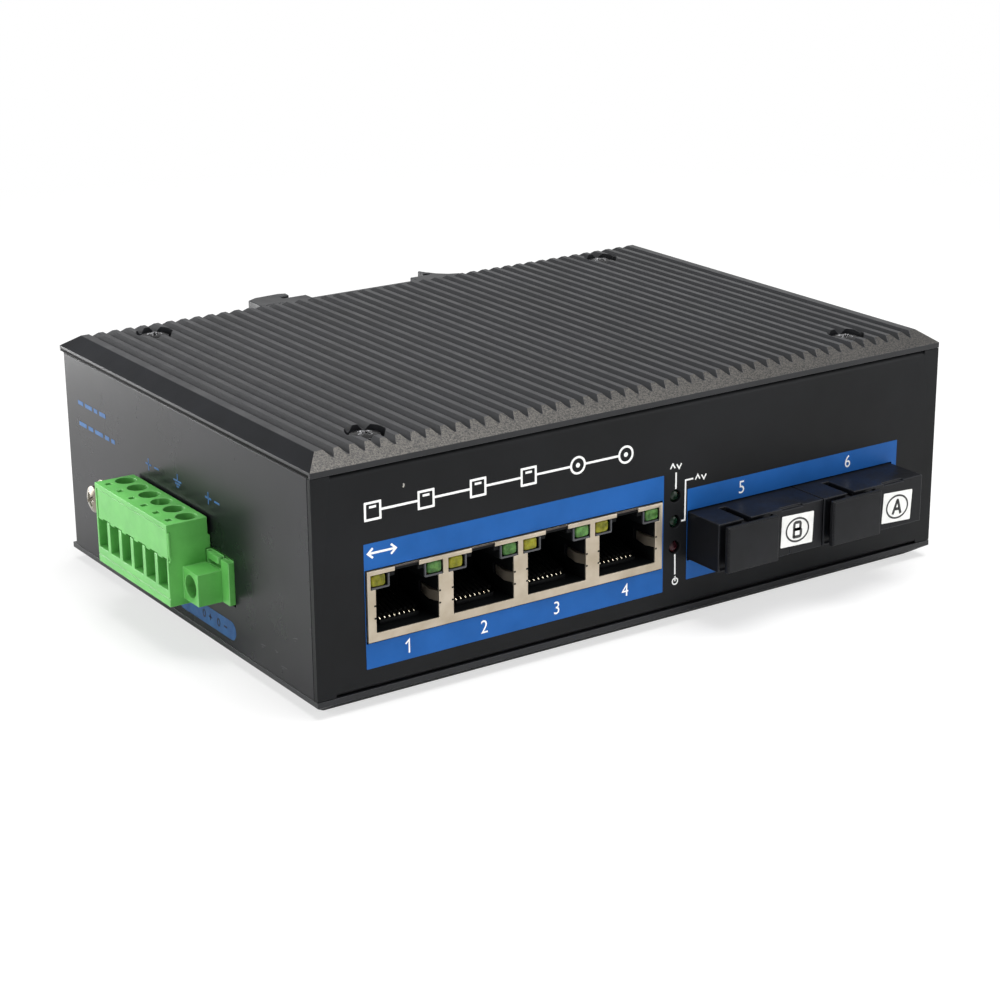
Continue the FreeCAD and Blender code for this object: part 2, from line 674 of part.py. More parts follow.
# ---- power terminal -----------------------------------------------------
def terminal_header():
    """Flanged header on the board edge, open toward the outside."""
    outer = LEFT - HEADER_PROUD
    inner = LEFT + HEADER_INSIDE
    y0 = PLUG_CENTRE_Y - HEADER_HALF
    y1 = PLUG_CENTRE_Y + HEADER_HALF
    z0 = HEADER_BOTTOM
    z1 = HEADER_TOP
    body = block(outer, inner, y0, y1, z0, z1)
    half = POLE_PITCH * POLES / 2
    cuts = [block(outer - 1, inner - 1.6, PLUG_CENTRE_Y - half + 0.35, PLUG_CENTRE_Y + half - 0.35, z0 + 0.9, z1 - 0.9)]
    for side in (-1, 1):
        y = PLUG_CENTRE_Y + side * FLANGE_HOLE_SPAN / 2
        cuts.append(rod(2.9, (outer - 1, y, FLANGE_HOLE_Z), 8.0, (1, 0, 0)))
        a = PLUG_CENTRE_Y + side * (half + 0.55)
        b = PLUG_CENTRE_Y + side * (HEADER_HALF - 3.0)
        cuts.append(block(outer - 1, LEFT, min(a, b), max(a, b), FLANGE_HOLE_Z + 3.2, z1 + 1))
        tab = PLUG_CENTRE_Y + side * (HEADER_HALF - 3.0)
        cuts.append(block(outer - 1, LEFT, min(tab, tab + side * 4), max(tab, tab + side * 4), z1 - 0.35, z1 + 1))
    header = body.cut(cuts)
    rails = []
    for side in (-1, 1):
        a = PLUG_CENTRE_Y + side * (half + 0.9)
        b = PLUG_CENTRE_Y + side * (HEADER_HALF - 3.6)
        rails.append(block(outer - 0.2, LEFT + 1, min(a, b), max(a, b), z1 - 1.5, z1 - 0.1))
    return header.fuse(rails)


def header_pins():
    """Six square pins that reach into the plug and down into the board."""
    inner = LEFT + HEADER_INSIDE
    pins = []
    z = HEADER_BOTTOM + 3.6
    for i in range(POLES):
        y = pole_y(i)
        pins.append(block(LEFT + 0.9, inner - 1.6, y - 0.5, y + 0.5, z - 0.5, z + 0.5))
    return Part.makeCompound(pins)


def terminal_plug_body():
    """Pluggable screw terminal: wire windows, screw shafts and side flanges."""
    half = POLE_PITCH * POLES / 2
    y0 = PLUG_CENTRE_Y - half
    y1 = PLUG_CENTRE_Y + half
    face = LEFT - PLUG_PROUD
    upper = [(face, PLUG_BOTTOM), (face, PLUG_TOP), (LEFT - 0.55, PLUG_TOP)]
    upper.append((LEFT - 0.55, PLUG_TOP - 3.2))
    upper.append((LEFT - 0.10, PLUG_TOP - 3.6))
    upper.append((LEFT - 0.10, HEADER_TOP + 0.15))
    upper.append((LEFT - HEADER_PROUD - 0.1, HEADER_TOP + 0.15))
    upper.append((LEFT - HEADER_PROUD - 0.1, PLUG_BOTTOM))
    body = slab_xz(upper, y0, y1)
    plug_y0 = y0 + 0.55
    plug_y1 = y1 - 0.55
    stem = block(LEFT - 2, LEFT + 6.4, plug_y0, plug_y1, HEADER_BOTTOM + 1.1, HEADER_TOP - 1.1)
    body = body.fuse(stem)
    cuts = []
    for i in range(POLES):
        y = pole_y(i)
        cuts.append(rod(4.0, (LEFT - 3.5, y, PLUG_TOP - 8.0), 9.0, (0, 0, 1)))
        cuts.append(block(LEFT - 7.7, LEFT - 6.5, y - 0.62, y + 0.62, PLUG_TOP - 1.2, PLUG_TOP + 1))
        cuts.append(block(face - 1, LEFT - 1.6, y - 1.95, y + 1.95, 14.3, 21.2))
        cuts.append(block(LEFT - 0.5, LEFT + 7, y - 0.8, y + 0.8, HEADER_BOTTOM + 2.8, HEADER_BOTTOM + 4.4))
    cuts.append(block(face - 1, face + 0.95, y0 + 0.55, y1 - 0.55, 20.3, PLUG_TOP - 1.0))
    cuts.append(block(face - 1, face + 0.15, y0 - 1, y1 + 1, PLUG_BOTTOM + 1.45, PLUG_BOTTOM + 1.65))
    body = body.cut(cuts)
    flanges = []
    for side in (-1, 1):
        a = PLUG_CENTRE_Y + side * half
        b = PLUG_CENTRE_Y + side * (half + FLANGE_BLOCK)
        wing = block(LEFT - FLANGE_FACE, LEFT - HEADER_PROUD, min(a, b), max(a, b), HEADER_BOTTOM, HEADER_BOTTOM + 6.2)
        flanges.append(wing)
    body = body.fuse(flanges)
    holes = []
    for side in (-1, 1):
        y = PLUG_CENTRE_Y + side * FLANGE_HOLE_SPAN / 2
        holes.append(rod(FLANGE_HOLE_D, (LEFT - FLANGE_FACE - 1, y, FLANGE_HOLE_Z), 5.0, (1, 0, 0)))
        holes.append(rod(3.0, (LEFT - FLANGE_FACE - 1, y, FLANGE_HOLE_Z), 9.0, (1, 0, 0)))
    return body.cut(holes)


def terminal_plug_cover():
    """Snap-in cover strip above the wire windows."""
    half = POLE_PITCH * POLES / 2
    y0 = PLUG_CENTRE_Y - half + COVER_END_GAP
    y1 = PLUG_CENTRE_Y + half - COVER_END_GAP
    face = LEFT - PLUG_PROUD
    strip = block(face + 0.12, face + 0.95, y0, y1, 20.4, PLUG_TOP - 1.12)
    teeth = []
    for i in range(POLES):
        y = pole_y(i)
        teeth.append(block(face + 0.12, face + 0.9, y + 0.1, y + 1.85, 20.0, 20.5))
    return strip.fuse(teeth)


def clamp_screws():
    """Six slotted clamp screws deep in the plug's round shafts."""
    screws = []
    for i in range(POLES):
        y = pole_y(i)
        head = rod(3.6, (LEFT - 3.5, y, PLUG_TOP - 6.4), 1.6, (0, 0, 1))
        slot = block(LEFT - 6, LEFT - 1, y - 0.3, y + 0.3, PLUG_TOP - 5.5, PLUG_TOP)
        tail = rod(2.4, (LEFT - 3.5, y, 19.1), PLUG_TOP - 6.4 - 19.1, (0, 0, 1))
        screws.append(head.cut(slot).fuse(tail))
    return Part.makeCompound(screws)


def clamp_cages():
    """Six rising wire clamps seen at the back of the wire windows."""
    cages = []
    for i in range(POLES):
        y = pole_y(i)
        cage = block(LEFT - 5.3, LEFT - 1.6, y - 1.85, y + 1.85, 14.3, 19.1)
        cage = cage.cut(block(LEFT - 6, LEFT - 1, y - 1.35, y + 1.35, 15.0, 18.4))
        cages.append(cage)
    return Part.makeCompound(cages)


def flange_screws():
    """Two captive screws that fix the plug to the header."""
    screws = []
    for side in (-1, 1):
        y = PLUG_CENTRE_Y + side * FLANGE_HOLE_SPAN / 2
        head = rod(4.2, (LEFT - 3.2, y, FLANGE_HOLE_Z), 1.3, (1, 0, 0))
        slot = block(LEFT - 4, LEFT - 2.7, y - 3, y + 3, FLANGE_HOLE_Z - 0.3, FLANGE_HOLE_Z + 0.3)
        shank = rod(2.7, (LEFT - 1.9, y, FLANGE_HOLE_Z), 7.4, (1, 0, 0))
        screws.append(head.cut(slot).fuse(shank))
    return Part.makeCompound(screws)


# ---- ground screw -------------------------------------------------------
def ground_washers():
    """Plain washer and lock washer under the ground screw."""
    plain = rod(7.0, (LEFT - 0.6, GROUND_Y, GROUND_Z), 0.6, (1, 0, 0))
    lock = rod(5.9, (LEFT - 1.5, GROUND_Y, GROUND_Z), 0.9, (1, 0, 0))
    bore = rod(3.2, (LEFT - 3, GROUND_Y, GROUND_Z), 5, (1, 0, 0))
    gap = block(LEFT - 2, LEFT - 0.6, GROUND_Y, GROUND_Y + 0.7, GROUND_Z, GROUND_Z + 4)
    return Part.makeCompound([plain.cut(bore), lock.cut([bore, gap])])


def ground_screw():
    """Round headed ground screw standing out from the left wall."""
    seat = LEFT - 1.5
    head = rod(5.5, (seat - 1.3, GROUND_Y, GROUND_Z), 1.3, (1, 0, 0))
    dome = Part.makeCone(2.75, 1.7, 0.8, Vector(seat - 1.3, GROUND_Y, GROUND_Z), Vector(-1, 0, 0))
    shank = rod(SHANK_D, (seat, GROUND_Y, GROUND_Z), 7.0, (1, 0, 0))
    body = head.fuse([dome, shank])
    one = block(seat - 3, seat - 1.1, GROUND_Y - 1.4, GROUND_Y + 1.4, GROUND_Z - 0.32, GROUND_Z + 0.32)
    two = block(seat - 3, seat - 1.1, GROUND_Y - 0.32, GROUND_Y + 0.32, GROUND_Z - 1.4, GROUND_Z + 1.4)
    return body.cut(one.fuse(two))


def ground_nut():
    """Hexagon nut that holds the ground screw inside the wall."""
    face = LEFT + SHEET
    nut = slab_yz(hexagon(NUT_ACROSS, GROUND_Y, GROUND_Z), face, face + NUT_HEIGHT)
    return nut.cut(rod(THREAD_HOLE_D, (face - 1, GROUND_Y, GROUND_Z), 5, (1, 0, 0)))


# ---- rail bracket -------------------------------------------------------
def bracket_screw_spots():
    """Four fixing points of the rail bracket on the rear wall."""
    return [(-8.0, 11.0), (12.0, 11.0), (-8.0, 37.0), (12.0, 37.0)]


def rail_bracket():
    """Extruded bracket with a hook at either end of the rail channel."""
    b = BACK
    outline = [(-24.8, b), (25.9, b), (25.9, b + 3.2), (23.6, b + 4.2), (21.7, b + 6.0)]
    outline.append((20.4, b + 8.2))
    outline.append((19.6, b + BRACKET_REACH))
    outline.append((19.1, b + BRACKET_REACH - 0.4))
    outline.append((19.1, b + 7.6))
    outline.append((20.3, b + 7.4))
    outline.append((20.3, b + 6.0))
    outline.append((14.6, b + 6.0))
    outline.append((14.6, b + 3.2))
    outline.append((-12.0, b + 3.2))
    outline.append((-12.0, b + 6.0))
    outline.append((-17.6, b + 6.0))
    outline.append((-17.6, b + 7.6))
    outline.append((-15.2, b + 7.8))
    outline.append((-15.0, b + 9.6))
    outline.append((-16.6, b + BRACKET_REACH))
    outline.append((-22.6, b + 9.9))
    outline.append((-24.8, b + 8.6))
    bracket = slab_xy(outline, BRACKET_LOW, BRACKET_HIGH)
    cuts = []
    for x, z in bracket_screw_spots():
        cuts.append(rod(CLEARANCE_D, (x, b - 1, z), 6, (0, 1, 0)))
        sink = Part.makeCone(1.7, 3.11, 1.41, Vector(x, b + 1.81, z), Vector(0, 1, 0))
        cuts.append(sink)
    cuts.append(block(-25.5, -19.6, b + 2.45, b + 3.0, BRACKET_LOW - 1, BRACKET_HIGH + 1))
    return bracket.cut(cuts)


def bracket_screws():
    """Flat headed screws of the rail bracket."""
    screws = []
    for x, z in bracket_screw_spots():
        head = Part.makeCone(1.7, 2.9, 1.2, Vector(x, BACK + 1.81, z), Vector(0, 1, 0))
        shank = rod(SHANK_D, (x, BACK - 3.0, z), 4.81, (0, 1, 0))
        body = head.fuse(shank)
        face = BACK + 3.01
        one = block(x - 1.4, x + 1.4, face - 0.8, face + 1, z - 0.3, z + 0.3)
        two = block(x - 0.3, x + 0.3, face - 0.8, face + 1, z - 1.4, z + 1.4)
        screws.append(body.cut(one.fuse(two)))
    return Part.makeCompound(screws)


def rail_spring():
    """Bent leaf that presses the rail edge toward the fixed hook."""
    b = BACK
    outline = [(-25.6, b + 2.45), (-19.65, b + 2.45), (-19.65, b + 2.95), (-25.1, b + 2.95)]
    outline.append((-25.1, b + 8.9))
    outline.append((-25.6, b + 8.9))
    return slab_xy(outline, 14.0, 34.0)


def nodes():
    """Every separate piece by name."""
    out = {}
    out["heatsink_cover"] = heatsink_cover()
    out["base_plate"] = base_plate()
    out["front_panel"] = front_panel()
    out["rear_wrap"] = rear_wrap()
    out["press_nuts"] = press_nuts()
    out["cover_screws"] = cover_screws()
    out["base_screws"] = base_screws()
    out["main_board"] = main_board()
    out["board_standoffs"] = board_standoffs()
    out["board_screws"] = board_screws()
    out["switch_chip"] = switch_chip()
    out["chip_heatsink"] = chip_heatsink()
    out["fibre_driver_chips"] = fibre_driver_chips()
    out["power_inductor"] = power_inductor()
    out["smoothing_capacitors"] = smoothing_capacitors()
    out["rj45_shield"] = rj45_shield()
    out["rj45_housing"] = rj45_housing()
    out["rj45_contacts"] = rj45_contacts()
    out["port_lamps_yellow"] = port_lamps(-1)
    out["port_lamps_green"] = port_lamps(1)
    out["lamp_holder"] = lamp_holder()
    out["link_lamp_upper"] = status_lamp(0)
    out["link_lamp_lower"] = status_lamp(1)
    out["power_lamp"] = status_lamp(2)
    out["fibre_transceiver_5"] = fibre_transceiver(MODULE_LEFT_5)
    out["fibre_transceiver_6"] = fibre_transceiver(MODULE_LEFT_6)
    out["fibre_sleeve_5"] = fibre_sleeve(MODULE_LEFT_5)
    out["fibre_sleeve_6"] = fibre_sleeve(MODULE_LEFT_6)
    out["dust_cap_5"] = dust_cap(MODULE_LEFT_5)
    out["dust_cap_6"] = dust_cap(MODULE_LEFT_6)
    out["port_label_5"] = port_label(MODULE_LEFT_5, 15.2, 14.4, 2.0)
    out["port_label_6"] = port_label(MODULE_LEFT_6, 15.05, 13.9, 3.0)
    out["terminal_header"] = terminal_header()
    out["header_pins"] = header_pins()
    out["terminal_plug_body"] = terminal_plug_body()
    out["terminal_plug_cover"] = terminal_plug_cover()
    out["clamp_screws"] = clamp_screws()
    out["clamp_cages"] = clamp_cages()
    out["flange_screws"] = flange_screws()
    out["ground_washers"] = ground_washers()
    out["ground_screw"] = ground_screw()
    out["ground_nut"] = ground_nut()
    out["rail_bracket"] = rail_bracket()
    out["bracket_screws"] = bracket_screws()
    out["rail_spring"] = rail_spring()
    return out


for name, shape in nodes().items():
    shape.exportStep("parts/" + name + ".step")
    print(name, "solids", len(shape.Solids), "volume", round(shape.Volume, 1))
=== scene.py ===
"""Looks of a rail mounted network switch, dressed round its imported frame.

Lengths are written in millimetres in the frame's own axes: X runs along the port
face, Y from the port face back to the rail clip, and Z up. Meshes are in metres.
"""

import sys

import logging
import math
from collections.abc import Iterable, Sequence
from dataclasses import dataclass, field
from enum import Enum
from functools import lru_cache
from itertools import pairwise, product

import bmesh
import bpy
import numpy as np
from mathutils import Matrix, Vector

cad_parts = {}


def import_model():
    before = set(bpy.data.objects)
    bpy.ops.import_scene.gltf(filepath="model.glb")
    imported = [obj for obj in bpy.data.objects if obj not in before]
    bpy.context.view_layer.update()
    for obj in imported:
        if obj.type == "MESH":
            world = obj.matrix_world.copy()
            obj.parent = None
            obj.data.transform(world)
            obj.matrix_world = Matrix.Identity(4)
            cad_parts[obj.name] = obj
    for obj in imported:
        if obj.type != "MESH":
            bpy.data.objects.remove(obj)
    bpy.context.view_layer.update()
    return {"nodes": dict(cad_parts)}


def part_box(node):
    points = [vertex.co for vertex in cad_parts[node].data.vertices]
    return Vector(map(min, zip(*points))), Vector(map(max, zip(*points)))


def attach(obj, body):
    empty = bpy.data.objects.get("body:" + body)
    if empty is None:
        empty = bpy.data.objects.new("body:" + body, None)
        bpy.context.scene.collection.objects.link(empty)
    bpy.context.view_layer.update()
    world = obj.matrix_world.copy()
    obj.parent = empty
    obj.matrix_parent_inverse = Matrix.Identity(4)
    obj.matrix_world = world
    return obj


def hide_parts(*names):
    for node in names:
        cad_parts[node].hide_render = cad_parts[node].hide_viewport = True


MM = 0.001
BODY = "root"
LOG = logging.getLogger("switch")

# Angles in degrees above which an edge stays sharp: plain pieces, screws and eased nodes.
CREASE, SCREW_CREASE, EASED_CREASE = 34.0, 50.0, 40.0

# A pattern's whole range, and a pattern that isn't stretched.
WHOLE = (0.0, 1.0)
EVEN = (1.0, 1.0, 1.0)

# Every node of the frame by its name, filled in by main().
NODES: dict[str, bpy.types.Object] = {}

Socket = bpy.types.NodeSocket
Span = tuple[float, float]


# ---------------------------------------------------------------- geometry
class Face(Enum):
    """The two printed walls, each with its own flat coordinates."""

    FRONT = "front"
    LEFT = "left"

    def to_space(self, flat: np.ndarray, lift: np.ndarray | float, wall: float) -> np.ndarray:
        """Puts flat drawing points on this wall.

        Args:
            flat: (n, 2) points, along the wall and up, as read from outside.
            lift: Distance outwards from the wall, one for all or one for each point.
            wall: Place of the wall on its own axis.

        Returns:
            (n, 3) points in the frame.
        """
        depth = np.broadcast_to(wall - lift, len(flat))
        if self is Face.FRONT:
            return np.column_stack([flat[:, 0], depth, flat[:, 1]])
        return np.column_stack([depth, -flat[:, 0], flat[:, 1]])


class Axis(Enum):
    """Directions that a part drawn along +Z can be turned to."""

    UP = ((1, 0, 0), (0, 1, 0), (0, 0, 1))
    DOWN = ((1, 0, 0), (0, -1, 0), (0, 0, -1))
    TO_FRONT = ((1, 0, 0), (0, 0, 1), (0, -1, 0))
    TO_BACK = ((-1, 0, 0), (0, 0, 1), (0, 1, 0))
    TO_LEFT = ((0, -1, 0), (0, 0, 1), (-1, 0, 0))


@dataclass(frozen=True)
class Extent:
    """Box round a node of the frame, in millimetres."""

    low: np.ndarray
    high: np.ndarray

    @classmethod
    def of(cls, node: str) -> "Extent":
        """Reads the box of a node from the frame."""
        low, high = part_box(node)
        return cls(np.array(low) / MM, np.array(high) / MM)

    @property
    def middle(self) -> np.ndarray:
        """Centre of the box."""
        return (self.low + self.high) / 2

    @property
    def size(self) -> np.ndarray:
        """Width, depth and height of the box."""
        return self.high - self.low


@dataclass
class Surface:
    """Points in millimetres and the faces that join them."""

    points: np.ndarray
    faces: list[tuple[int, ...]]

    @classmethod
    def joined(cls, parts: Iterable["Surface"]) -> "Surface":
        """Puts several surfaces in one, without welding them.

        Args:
            parts: The surfaces, in order.

        Returns:
            The one surface.
        """
        points: list[np.ndarray] = []
        faces: list[tuple[int, ...]] = []
        start = 0
        for part in parts:
            points.append(part.points)
            faces.extend(tuple(index + start for index in face) for face in part.faces)
            start += len(part.points)
        return cls(np.vstack(points), faces)

    def moved(self, x: float = 0.0, y: float = 0.0, z: float = 0.0) -> "Surface":
        """Copy of the surface shifted by three lengths."""
        return Surface(self.points + np.array([x, y, z]), self.faces)

    def turned(self, axis: Axis) -> "Surface":
        """Copy of the surface whose +Z points along another direction."""
        return Surface(self.points @ np.array(axis.value, dtype=float), self.faces)

    def spun(self, degrees: float, first: int = 0, second: int = 1) -> "Surface":
        """Copy of the surface turned from one axis towards another.

        Args:
            degrees: How far it turns.
            first: Number of the axis that the turn leaves.
            second: Number of the axis that it goes to.

        Returns:
            The turned copy.
        """
        turn = math.radians(degrees)
        matrix = np.eye(3)
        matrix[first, first] = matrix[second, second] = math.cos(turn)
        matrix[first, second] = math.sin(turn)
        matrix[second, first] = -math.sin(turn)
        return Surface(self.points @ matrix, self.faces)


def raised(flat: np.ndarray, level: float) -> np.ndarray:
    """Lifts (n, 2) points to one height along Z."""
    return np.column_stack([flat, np.full(len(flat), level)])


def unit_circle(count: int) -> np.ndarray:
    """Points (cos t, sin t) at equal steps round one turn."""
    turn = np.linspace(0, 2 * math.pi, count, endpoint=False)
    return np.column_stack([np.cos(turn), np.sin(turn)])


def about_axis(radius: np.ndarray, angle: np.ndarray, height: np.ndarray) -> np.ndarray:
    """Grid of points (r cos t, r sin t, h) about Z."""
    return np.stack(np.broadcast_arrays(radius * np.cos(angle), radius * np.sin(angle), height), axis=-1)


def loft(rings: np.ndarray, caps: bool = True, closed: bool = False) -> Surface:
    """Skins a stack of rings.

    Point j of ring i is joined to point j + 1 of the same ring and to the same two
    points of ring i + 1, so the skin is a grid wrapped round on itself.

    Args:
        rings: (count, around, 3) points, anticlockwise about the way they climb.
        caps: Whether the first and the last ring are filled.
        closed: Whether the last ring is joined to the first.

    Returns:
        The skin.
    """
    count, around = rings.shape[:2]
    last = count if closed else count - 1
    i, j = np.meshgrid(np.arange(last), np.arange(around), indexing="ij")
    up = (i + 1) % count
    on = (j + 1) % around
    corners = [i * around + j, i * around + on, up * around + on, up * around + j]
    faces = [tuple(quad) for quad in np.stack(corners, axis=-1).reshape(-1, 4).tolist()]
    if caps and not closed:
        faces.append(tuple(range(around - 1, -1, -1)))
        faces.append(tuple(range((count - 1) * around, count * around)))
    return Surface(rings.reshape(-1, 3), faces)


def rounded_outline(width: float, height: float, radius: float, steps: int = 5) -> np.ndarray:
    """Rectangle about the origin with round corners.

    Each corner is its own centre plus radius times (cos t, sin t), a quarter turn each.

    Args:
        width: Whole width.
        height: Whole height.
        radius: Corner radius.
        steps: Divisions of each corner.

    Returns:
        (4 * (steps + 1), 2) points, anticlockwise.
    """
    radius = max(min(radius, width / 2, height / 2), 1e-3)
    turns = np.linspace(0, math.pi / 2, steps + 1)
    corners = []
    for quarter, (sx, sy) in enumerate(((1, 1), (-1, 1), (-1, -1), (1, -1))):
        angle = turns + quarter * math.pi / 2
        x = sx * (width / 2 - radius) + radius * np.cos(angle)
        y = sy * (height / 2 - radius) + radius * np.sin(angle)
        corners.append(np.column_stack([x, y]))
    return np.vstack(corners)


def cushion_block(size: Sequence[float], corner: float, edge: float, steps: int = 4) -> Surface:
    """Block about the origin with round corners and round ends.

    Towards each end along Z the outline shrinks by edge * (1 - sin t) while the
    height moves by edge * (1 - cos t), for t from nought to a quarter turn.

    Args:
        size: Width, height and depth along X, Y and Z.
        corner: Radius of the four long edges.
        edge: Radius of the rim at both ends.
        steps: Divisions of each round.

    Returns:
        The closed block.
    """
    width, height, depth = size
    turns = np.linspace(0, math.pi / 2, steps + 1)
    shrink = edge * (1 - np.sin(turns))
    climb = edge * (1 - np.cos(turns))
    levels = np.concatenate([climb - depth / 2, depth / 2 - climb[::-1]])
    insets = np.concatenate([shrink, shrink[::-1]])
    rings = []
    for level, inset in zip(levels, insets):
        flat = rounded_outline(width - 2 * inset, height - 2 * inset, corner - inset * 0.6, steps)
        rings.append(raised(flat, level))
    return loft(np.array(rings))


def revolved(profile: np.ndarray, segments: int, closed: bool = False) -> Surface:
    """Turns a profile about Z: a point (r, h) goes to (r cos t, r sin t, h).

    Args:
        profile: (n, 2) radii and heights, from the lower end to the upper.
        segments: Divisions of the turn.
        closed: Whether the profile comes back to its start, as a washer's does.

    Returns:
        The closed surface.
    """
    angle = np.linspace(0, 2 * math.pi, segments, endpoint=False)
    return loft(about_axis(np.maximum(profile[:, :1], 0.004), angle, profile[:, 1:]), closed=closed)


def swept(path: np.ndarray, section: np.ndarray, side: Sequence[float]) -> Surface:
    """Carries a flat section along a path that lies in a plane.

    At each point the section's first coordinate runs along the plane's normal, and
    its second along that normal crossed with the path's own direction.

    Args:
        path: (n, 3) points.
        section: (m, 2) closed outline, anticlockwise.
        side: Normal of the plane that holds the path.

    Returns:
        The closed bar.
    """
    normal = np.array(side, dtype=float)
    along = np.gradient(path, axis=0)
    along /= np.linalg.norm(along, axis=1, keepdims=True)
    across = np.cross(along, normal)
    first = section[:, 0][None, :, None] * normal[None, None, :]
    second = section[:, 1][None, :, None] * across[:, None, :]
    return loft(path[:, None, :] + first + second)


def rounded_path(corners: Sequence[Sequence[float]], radius: float, steps: int = 5) -> np.ndarray:
    """Polyline whose inner corners are eased.

    Each corner becomes a quadratic curve between the points one radius before it and
    one radius after it, with the corner itself as the control point.

    Args:
        corners: Points of the polyline.
        radius: Reach of the easing along both lines, at most half their length.
        steps: Divisions of each eased corner.

    Returns:
        The eased points.
    """
    points = np.array(corners, dtype=float)
    out = [points[:1]]
    blend = np.linspace(0, 1, steps + 1)[:, None]
    for before, here, after in zip(points[:-2], points[1:-1], points[2:]):
        enter = here + (before - here) * min(0.5, radius / np.linalg.norm(before - here))
        leave = here + (after - here) * min(0.5, radius / np.linalg.norm(after - here))
        out.append((1 - blend) ** 2 * enter + 2 * blend * (1 - blend) * here + blend**2 * leave)
    out.append(points[-1:])
    return np.vstack(out)


# ------------------------------------------------------------ flat printing
@dataclass(frozen=True)
class Press:
    """Prints thin closed shapes on one wall, from just inside it to the film's height."""

    face: Face
    wall: float
    film: float = 0.03
    sunk: float = -0.01

    def _rings(self, flats: Iterable[np.ndarray], lifts: Iterable[float]) -> np.ndarray:
        """Outlines on the wall, each at its own lift."""
        return np.array([self.face.to_space(flat, lift, self.wall) for flat, lift in zip(flats, lifts)])

    def solid(self, outer: np.ndarray, inner: np.ndarray | None = None) -> Surface:
        """Film bounded by one outline, or by two with the same number of points.

        Args:
            outer: Outline of the film.
            inner: Outline of its opening, if it has one.

        Returns:
            The film.
        """
        if inner is None:
            return loft(self._rings((outer, outer), (self.sunk, self.film)))
        lifts = (self.sunk, self.film, self.film, self.sunk)
        return loft(self._rings((outer, outer, inner, inner), lifts), closed=True)

    @staticmethod
    def _frame(x0: float, x1: float, z0: float, z1: float, corner: float) -> np.ndarray:
        """Outline of a rectangle with slightly round corners."""
        return rounded_outline(x1 - x0, z1 - z0, corner) + np.array([(x0 + x1) / 2, (z0 + z1) / 2])

    def field(self, x0: float, x1: float, z0: float, z1: float, corner: float = 0.15) -> Surface:
        """Rectangle of ink with slightly round corners."""
        return self.solid(self._frame(x0, x1, z0, z1, corner))

    def window(self, outer: Sequence[float], inner: Sequence[float], corner: float = 0.12) -> Surface:
        """Rectangle of ink with a rectangular opening.

        Args:
            outer: Low and high along the wall, then low and high upwards.
            inner: The same for the opening.
            corner: Radius of both corners.

        Returns:
            The film.
        """
        return self.solid(self._frame(*outer, corner), self._frame(*inner, corner))

    def outline(self, x0: float, x1: float, z0: float, z1: float, line: float) -> Surface:
        """Rectangle drawn as a line."""
        return self.window((x0, x1, z0, z1), (x0 + line, x1 - line, z0 + line, z1 - line))

    def ring(self, x: float, z: float, width: float, height: float, line: float) -> Surface:
        """Oval line: centre plus half width times cos t and half height times sin t.

        Args:
            x: Centre along the wall.
            z: Centre upwards.
            width: Whole width.
            height: Whole height.
            line: Width of the line, inside the oval.

        Returns:
            The film.
        """
        unit = unit_circle(56)
        half = np.array([width, height]) / 2
        centre = np.array([x, z])
        return self.solid(centre + unit * half, centre + unit * (half - line))

    def dot(self, x: float, z: float, size: float) -> Surface:
        """Filled round spot."""
        return self.solid(np.array([x, z]) + unit_circle(24) * size / 2)

    def stroke(self, corners: Sequence[Sequence[float]], line: float) -> Surface:
        """Line with mitred corners.

        Each point is pushed both ways along the mean of its neighbours' normals,
        stretched so that the line keeps its width round the corner.

        Args:
            corners: Points of the line, along the wall and up.
            line: Width of the line.

        Returns:
            The film.
        """
        points = np.array(corners, dtype=float)
        along = np.diff(points, axis=0)
        along /= np.linalg.norm(along, axis=1, keepdims=True)
        normal = np.column_stack([-along[:, 1], along[:, 0]])
        after = np.vstack([normal, normal[-1:]])
        mean = np.vstack([normal[:1], normal]) + after
        mean /= np.linalg.norm(mean, axis=1, keepdims=True)
        mitre = mean / np.sum(mean * after, axis=1, keepdims=True) * line / 2
        left = points + mitre
        right = points - mitre
        sides = self._rings((left, right, right, left), (self.sunk, self.sunk, self.film, self.film))
        return loft(sides.transpose(1, 0, 2))

    def bar(self, x0: float, x1: float, z: float, line: float) -> Surface:
        """Level line."""
        return self.stroke([(x0, z), (x1, z)], line)

    def post(self, x: float, z0: float, z1: float, line: float) -> Surface:
        """Upright line."""
        return self.stroke([(x, z0), (x, z1)], line)

    def numeral(self, text: str, x: float, z: float, height: float, narrow: float = 0.92) -> Surface:
        """Plain figure centred on a point, cut from the stock typeface as a mesh.

        Args:
            text: The figure.
            x: Centre along the wall.
            z: Centre upwards.
            height: Height of the figure.
            narrow: Share of its own width that it keeps.

        Returns:
            The film.
        """
        curve = bpy.data.curves.new("figure", "FONT")
        curve.body = text
        curve.size = 1.0
        curve.resolution_u = 3
        curve.extrude = 0.01
        curve.offset = -0.002
        carrier = bpy.data.objects.new("figure", curve)
        bpy.context.collection.objects.link(carrier)
        bpy.context.view_layer.update()
        mesh = bpy.data.meshes.new_from_object(carrier)
        raw = np.array([tuple(vertex.co) for vertex in mesh.vertices])
        faces = [tuple(polygon.vertices) for polygon in mesh.polygons]
        bpy.data.objects.remove(carrier)
        bpy.data.meshes.remove(mesh)
        bpy.data.curves.remove(curve)
        low = raw.min(axis=0)
        high = raw.max(axis=0)
        scale = height / (high[1] - low[1])
        flat = (raw[:, :2] - (low[:2] + high[:2]) / 2) * np.array([scale * narrow, scale])
        lift = np.where(raw[:, 2] > 0, self.film, self.sunk)
        return Surface(self.face.to_space(flat + np.array([x, z]), lift, self.wall), faces)


